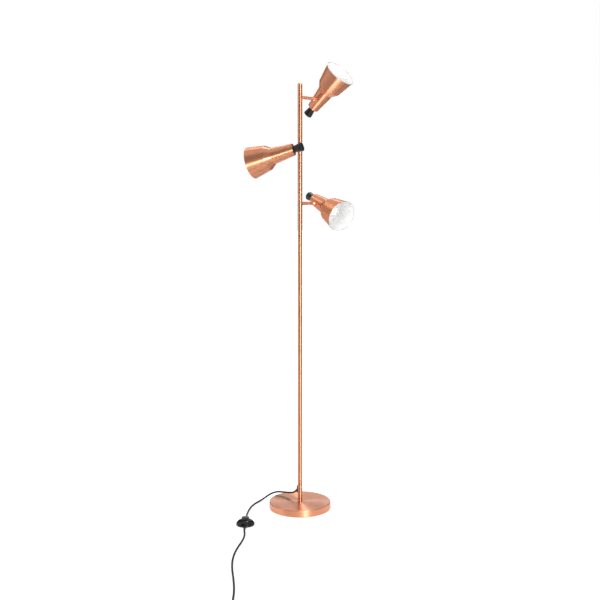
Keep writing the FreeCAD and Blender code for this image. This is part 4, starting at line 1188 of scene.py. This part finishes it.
@dataclass
class MainsCord:
    """The round black flex: from the pole to the foot switch, and on to the coil and the plug."""

    shop: Workshop
    switch: FootSwitch
    radius: float = 3 * MM
    outlet: float = 66 * MM
    outlet_azimuth: float = 126.0
    outlet_slope: float = 35.0
    spout: float = 22 * MM
    pole_radius: float = 8 * MM
    sleeve: float = 50 * MM
    coil_x: float = -146 * MM
    coil_y: float = -857 * MM
    coil_radius: float = 40 * MM
    coil_pitch: float = 6.75 * MM
    coil_floor: float = 4.4 * MM
    coil_turns: float = 5.25
    climb: float = 0.5
    points_per_turn: int = 16

    def build(self) -> None:
        """Builds both stretches of cord, and gives the tie, the plug and its pins their finishes."""
        tip, along = self._exit()
        entry = Vector((self.switch.x, self.switch.y, self.switch.entry))
        route = [tip, tip + along * 15 * MM]
        route += [Vector(p) * MM for p in (
            (-37, 49.5, 38), (-59, 66, 34.5), (-84, 76.5, 33.5), (-109, 80.5, 24), (-131, 74.5, 9.5),
            (-149, 56.5, 3.4), (-163, 33, 3.1), (-174, 4, 3.2), (-181.5, -31, 3.1), (-185.5, -72, 3.4))]
        route += [entry + Vector((0, self.sleeve + 28 * MM, 0)), entry + Vector((0, self.sleeve, 0))]
        first = self._flex("cord_to_foot_switch", route)
        self.shop.place(first, "stand", "cord_black", "cord_to_switch")
        start = entry - Vector((0, self.sleeve, 0))
        route = [start, entry - Vector((0, self.sleeve + 20 * MM, 0))]
        route += [Vector(p) * MM for p in (
            (-183, -274, 3.3), (-183.5, -303, 3.1), (-188, -340, 3.2), (-197, -384, 3.1), (-205, -436, 3.2),
            (-208, -496, 3.1), (-204, -560, 3.2), (-196, -622, 3.1), (-188.5, -686, 3.2), (-185.2, -748, 3.5))]
        lead = 2 * self.radius
        outer = self._coil_spot(0.0)
        route += [outer + Vector((0, lead + 50 * MM, 0)), outer + Vector((0, lead, 0))]
        count = round(self.coil_turns * self.points_per_turn)
        route += [self._coil_spot(k / self.points_per_turn) for k in range(count + 1)]
        plug_end = route[-1] + Vector((2 * lead, 0, 0))
        route.append(plug_end)
        second = self._flex("cord_to_plug", route)
        self.shop.place(second, "stand", "cord_black", "cord_from_switch", "cord_coil")
        plug, pins, tie = self._plug(), self._pins(), self._tie()

    def _exit(self) -> tuple[Vector, Vector]:
        """Tip of the outlet's spout and the direction in which the cord leaves it.

        Returns:
            The tip and the direction.
        """
        turn = Matrix.Rotation(math.radians(self.outlet_azimuth), 3, "Z")
        slope = math.radians(self.outlet_slope)
        along = turn @ Vector((math.cos(slope), 0.0, -math.sin(slope)))
        root = turn @ Vector((self.pole_radius + 0.6 * MM, 0.0, 0.0)) + Vector((0.0, 0.0, self.outlet))
        return root + along * self.spout, along

    def _coil_spot(self, turns: float) -> Vector:
        """Middle of the cord after so many turns: in on the floor, up half a turn, and out on top.

        Args:
            turns: turns from the coil's start.

        Returns:
            The place.
        """
        inward = (self.coil_turns - self.climb) / 2
        rise = min(max((turns - inward) / self.climb, 0.0), 1.0)
        rise = rise * rise * (3 - 2 * rise)
        laid = min(turns, inward) - max(turns - inward - self.climb, 0.0)
        tuck = 1.1 * MM * math.sin(math.pi * rise)
        radius = self.coil_radius - self.coil_pitch * laid - tuck
        angle = math.pi + turns * math.tau
        return Vector((self.coil_x + radius * math.cos(angle), self.coil_y + radius * math.sin(angle),
                       self.coil_floor + self.coil_pitch * rise))

    def _flex(self, name: str, route: Sequence[Vector]) -> bpy.types.Object:
        """A round flex on one smooth spline through the route's control points.

        Args:
            name: the flex's name.
            route: its control points.

        Returns:
            The flex, as a curve.
        """
        curve = bpy.data.curves.new(name, "CURVE")
        curve.dimensions = "3D"
        curve.bevel_depth = self.radius
        curve.bevel_resolution = 6
        curve.use_fill_caps = True
        spline = curve.splines.new("NURBS")
        spline.points.add(len(route) - 1)
        for point, spot in zip(spline.points, route):
            point.co = (*spot, 1.0)
        spline.order_u = 3
        spline.use_endpoint_u = True
        spline.resolution_u = 10
        spline.use_smooth = True
        curve.materials.append(self.shop.material(FLEX_BLACK))
        return linked(name, curve)

    def _plug(self) -> bpy.types.Object:
        """The moulded plug, as packed, with its finish."""
        self.shop.dress("plug_body", FLEX_BLACK)
        return self.shop.frame["nodes"]["plug_body"]

    def _pins(self) -> bpy.types.Object:
        """The plug's pins, as packed, with their finish."""
        self.shop.dress("plug_pins", PlainMetal("nickelled_brass", colour=(0.66, 0.60, 0.46),
                                                dull=(0.5, 0.45, 0.33)))
        return self.shop.frame["nodes"]["plug_pins"]

    def _tie(self) -> bpy.types.Object:
        """The tie round the coil, as packed, with its finish."""
        self.shop.dress("coil_tie", BLACK)
        return self.shop.frame["nodes"]["coil_tie"]


# ---------------------------------------------------------------------------------------------------------
# Studio
# ---------------------------------------------------------------------------------------------------------

@dataclass(frozen=True)
class Lamp:
    """A soft rectangular lamp: either metal mirrors it, or it lights matt surfaces only."""

    name: str
    place: tuple[float, float, float]
    target: tuple[float, float, float]
    size: Point2
    watts: float
    mirrored: bool = False

    def hang(self) -> None:
        """Puts the lamp in the scene."""
        light = bpy.data.lights.new(self.name, "AREA")
        light.shape = "RECTANGLE"
        light.size, light.size_y = self.size
        light.energy = self.watts
        lamp = linked(self.name, light)
        lamp.location = self.place
        lamp.visible_glossy = self.mirrored
        lamp.visible_diffuse = not self.mirrored
        lamp.rotation_euler = (Vector(self.target) - Vector(self.place)).to_track_quat("-Z", "Y").to_euler()


@dataclass
class Studio:
    """White floor and surroundings, soft lamps, flags for the metal, and the photograph's camera.

    A flag is (from degrees, to degrees, grey level), counted round the lamp from the camera, positive to the right.
    """

    camera_place: tuple[float, float, float] = (0.0, -3.19, 1.1017)
    camera_pitch: float = 83.756
    lens: float = 54.67
    white: Colour = (0.9, 0.9, 0.9)
    flags: tuple[tuple[float, float, float], ...] = (
        (-57.0, -8.0, 0.005), (44.0, 104.0, 0.50), (118.0, 158.0, 0.07), (-158.0, -118.0, 0.08))
    flag_reach: tuple[float, float] = (0.7, 2.4)
    flag_height: float = 4.2
    flag_step: float = 6.0
    even: float = 0.95
    floor_half: float = 30.0
    floor_drop: float = 0.02 * MM
    glow_from: tuple[float, float] = (0.5, 1.6)
    glow: tuple[float, float] = (0.30, 0.8)
    lamps: tuple[Lamp, ...] = (
        Lamp("box", (1.15, -2.9, 1.15), (0.0, 0.0, 1.15), (1.1, 0.5), 85.0, mirrored=True),
        Lamp("overhead", (0.35, 0.9, 3.3), (0.0, 0.0, 0.2), (0.25, 1.0), 12.0, mirrored=True),
        Lamp("key", (-1.6, -3.2, 2.2), (0.0, 0.0, 0.9), (1.4, 1.4), 34.0),
        Lamp("fill", (1.7, -2.7, 0.5), (0.0, 0.0, 1.1), (1.4, 0.8), 38.0),
        Lamp("top", (0.2, 0.4, 3.6), (0.0, 0.0, 0.6), (2.2, 2.2), 8.0))

    def build(self) -> None:
        """Builds the whole studio."""
        bpy.context.scene.view_settings.view_transform = "Standard"
        self._camera()
        self._world()
        self._floor()
        self._flags()
        for lamp in self.lamps:
            lamp.hang()

    def _camera(self) -> None:
        """The camera at the photograph's angle."""
        lens = bpy.data.cameras.new("camera")
        lens.sensor_width = 36.0
        lens.lens = self.lens
        lens.clip_end = 100.0
        camera = linked("camera", lens)
        camera.location = self.camera_place
        camera.rotation_euler = (math.radians(self.camera_pitch), 0.0, 0.0)
        bpy.context.scene.camera = camera

    @staticmethod
    def _seen(board: Board) -> Socket:
        """1 where the camera looks, straight or by way of metal or glass.

        Args:
            board: the tree that needs it.

        Returns:
            The share, 0 or 1.
        """
        paths = board.add("ShaderNodeLightPath")
        return board.math("MAXIMUM", paths.outputs["Is Camera Ray"], board.math(
            "MAXIMUM", paths.outputs["Is Glossy Ray"], paths.outputs["Is Transmission Ray"]))

    def _world(self) -> None:
        """White where it is seen, and even light to matt surfaces."""
        world = bpy.data.worlds.new("studio")
        bpy.context.scene.world = world
        world.use_nodes = True
        board = Board(world.node_tree)
        even = board.add("ShaderNodeBackground", {"Color": (1.0, 1.0, 1.0, 1.0), "Strength": self.even})
        plain = board.add("ShaderNodeBackground", {"Color": (1.0, 1.0, 1.0, 1.0), "Strength": 1.0})
        mixed = board.add("ShaderNodeMixShader", {0: self._seen(board), 1: even.outputs[0], 2: plain.outputs[0]})
        board.add("ShaderNodeOutputWorld", {"Surface": mixed.outputs[0]})

    def _floor(self) -> None:
        """A plain floor that reads white, straight and mirrored, and keeps the lamp's shadow."""
        material = bpy.data.materials.new("floor_white")
        material.use_nodes = True
        board = Board(material.node_tree)
        place = board.add("ShaderNodeTexCoord").outputs["Object"]
        far = board.vector("LENGTH", place).outputs["Value"]
        matt = board.add("ShaderNodeBsdfDiffuse", {"Color": rgba(self.white)})
        glow = board.add("ShaderNodeEmission", {
            "Color": (1.0, 1.0, 1.0, 1.0), "Strength": board.spread(far, *self.glow_from, *self.glow)})
        both = board.add("ShaderNodeAddShader", {0: matt.outputs[0], 1: glow.outputs[0]})
        mixed = board.add("ShaderNodeMixShader", {0: self._seen(board), 1: matt.outputs[0], 2: both.outputs[0]})
        board.add("ShaderNodeOutputMaterial", {"Surface": mixed.outputs[0]})
        mesh = bmesh.new()
        bmesh.ops.create_grid(mesh, x_segments=1, y_segments=1, size=self.floor_half)
        floor = finish_mesh("floor", mesh, Matrix.Translation((0.0, 0.0, -self.floor_drop)), material)

    def _flags(self) -> None:
        """Black and grey cards round the lamp, from the floor up, that only the metal's reflections see."""
        near, far = self.flag_reach
        for number, (start, end, level) in enumerate(self.flags):
            material = bpy.data.materials.new(f"flag_{number}")
            material.use_nodes = True
            board = Board(material.node_tree)
            card = board.add("ShaderNodeEmission", {"Color": rgba((level,) * 3), "Strength": 1.0})
            board.add("ShaderNodeOutputMaterial", {"Surface": card.outputs[0]})
            mesh = bmesh.new()
            steps = max(2, round((end - start) / self.flag_step))
            rows = []
            for step in range(steps + 1):
                turn = math.radians(start + (end - start) * step / steps)
                rows.append([mesh.verts.new((out * math.sin(turn), -out * math.cos(turn), up))
                             for out, up in ((near, MM), (far, MM), (far, self.flag_height))])
            for one, two in zip(rows, rows[1:]):
                for low, high in ((0, 1), (1, 2)):
                    mesh.faces.new((one[low], two[low], two[high], one[high]))
            flag = finish_mesh(f"flag_{number}", mesh, Matrix.Identity(4), material)
            flag.visible_camera = flag.visible_diffuse = flag.visible_shadow = flag.visible_transmission = False


def main() -> None:
    """Builds the looks in order."""
    logging.basicConfig(level=logging.INFO, format="%(name)s: %(message)s")
    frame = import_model()
    shop = Workshop(frame)
    Base(shop).build()
    Pole(shop).build()
    shop.dress("arm_screws", ZINC)
    shop.dress("arm_washers", BLACK)
    for arm in (Arm(shop, "upper", Side.RIGHT, 1454 * MM, 0.0, 7.5, 47.2),
                Arm(shop, "middle", Side.LEFT, 1272.5 * MM, -37.0, 35.8, 138.0),
                Arm(shop, "lower", Side.RIGHT, 1091 * MM, 0.0, -6.1, 111.4)):
        arm.build()
        Head(shop, arm).build()
    switch = FootSwitch(shop)
    switch.build()
    MainsCord(shop, switch).build()
    Studio().build()


if __name__ == "__main__":
    main()
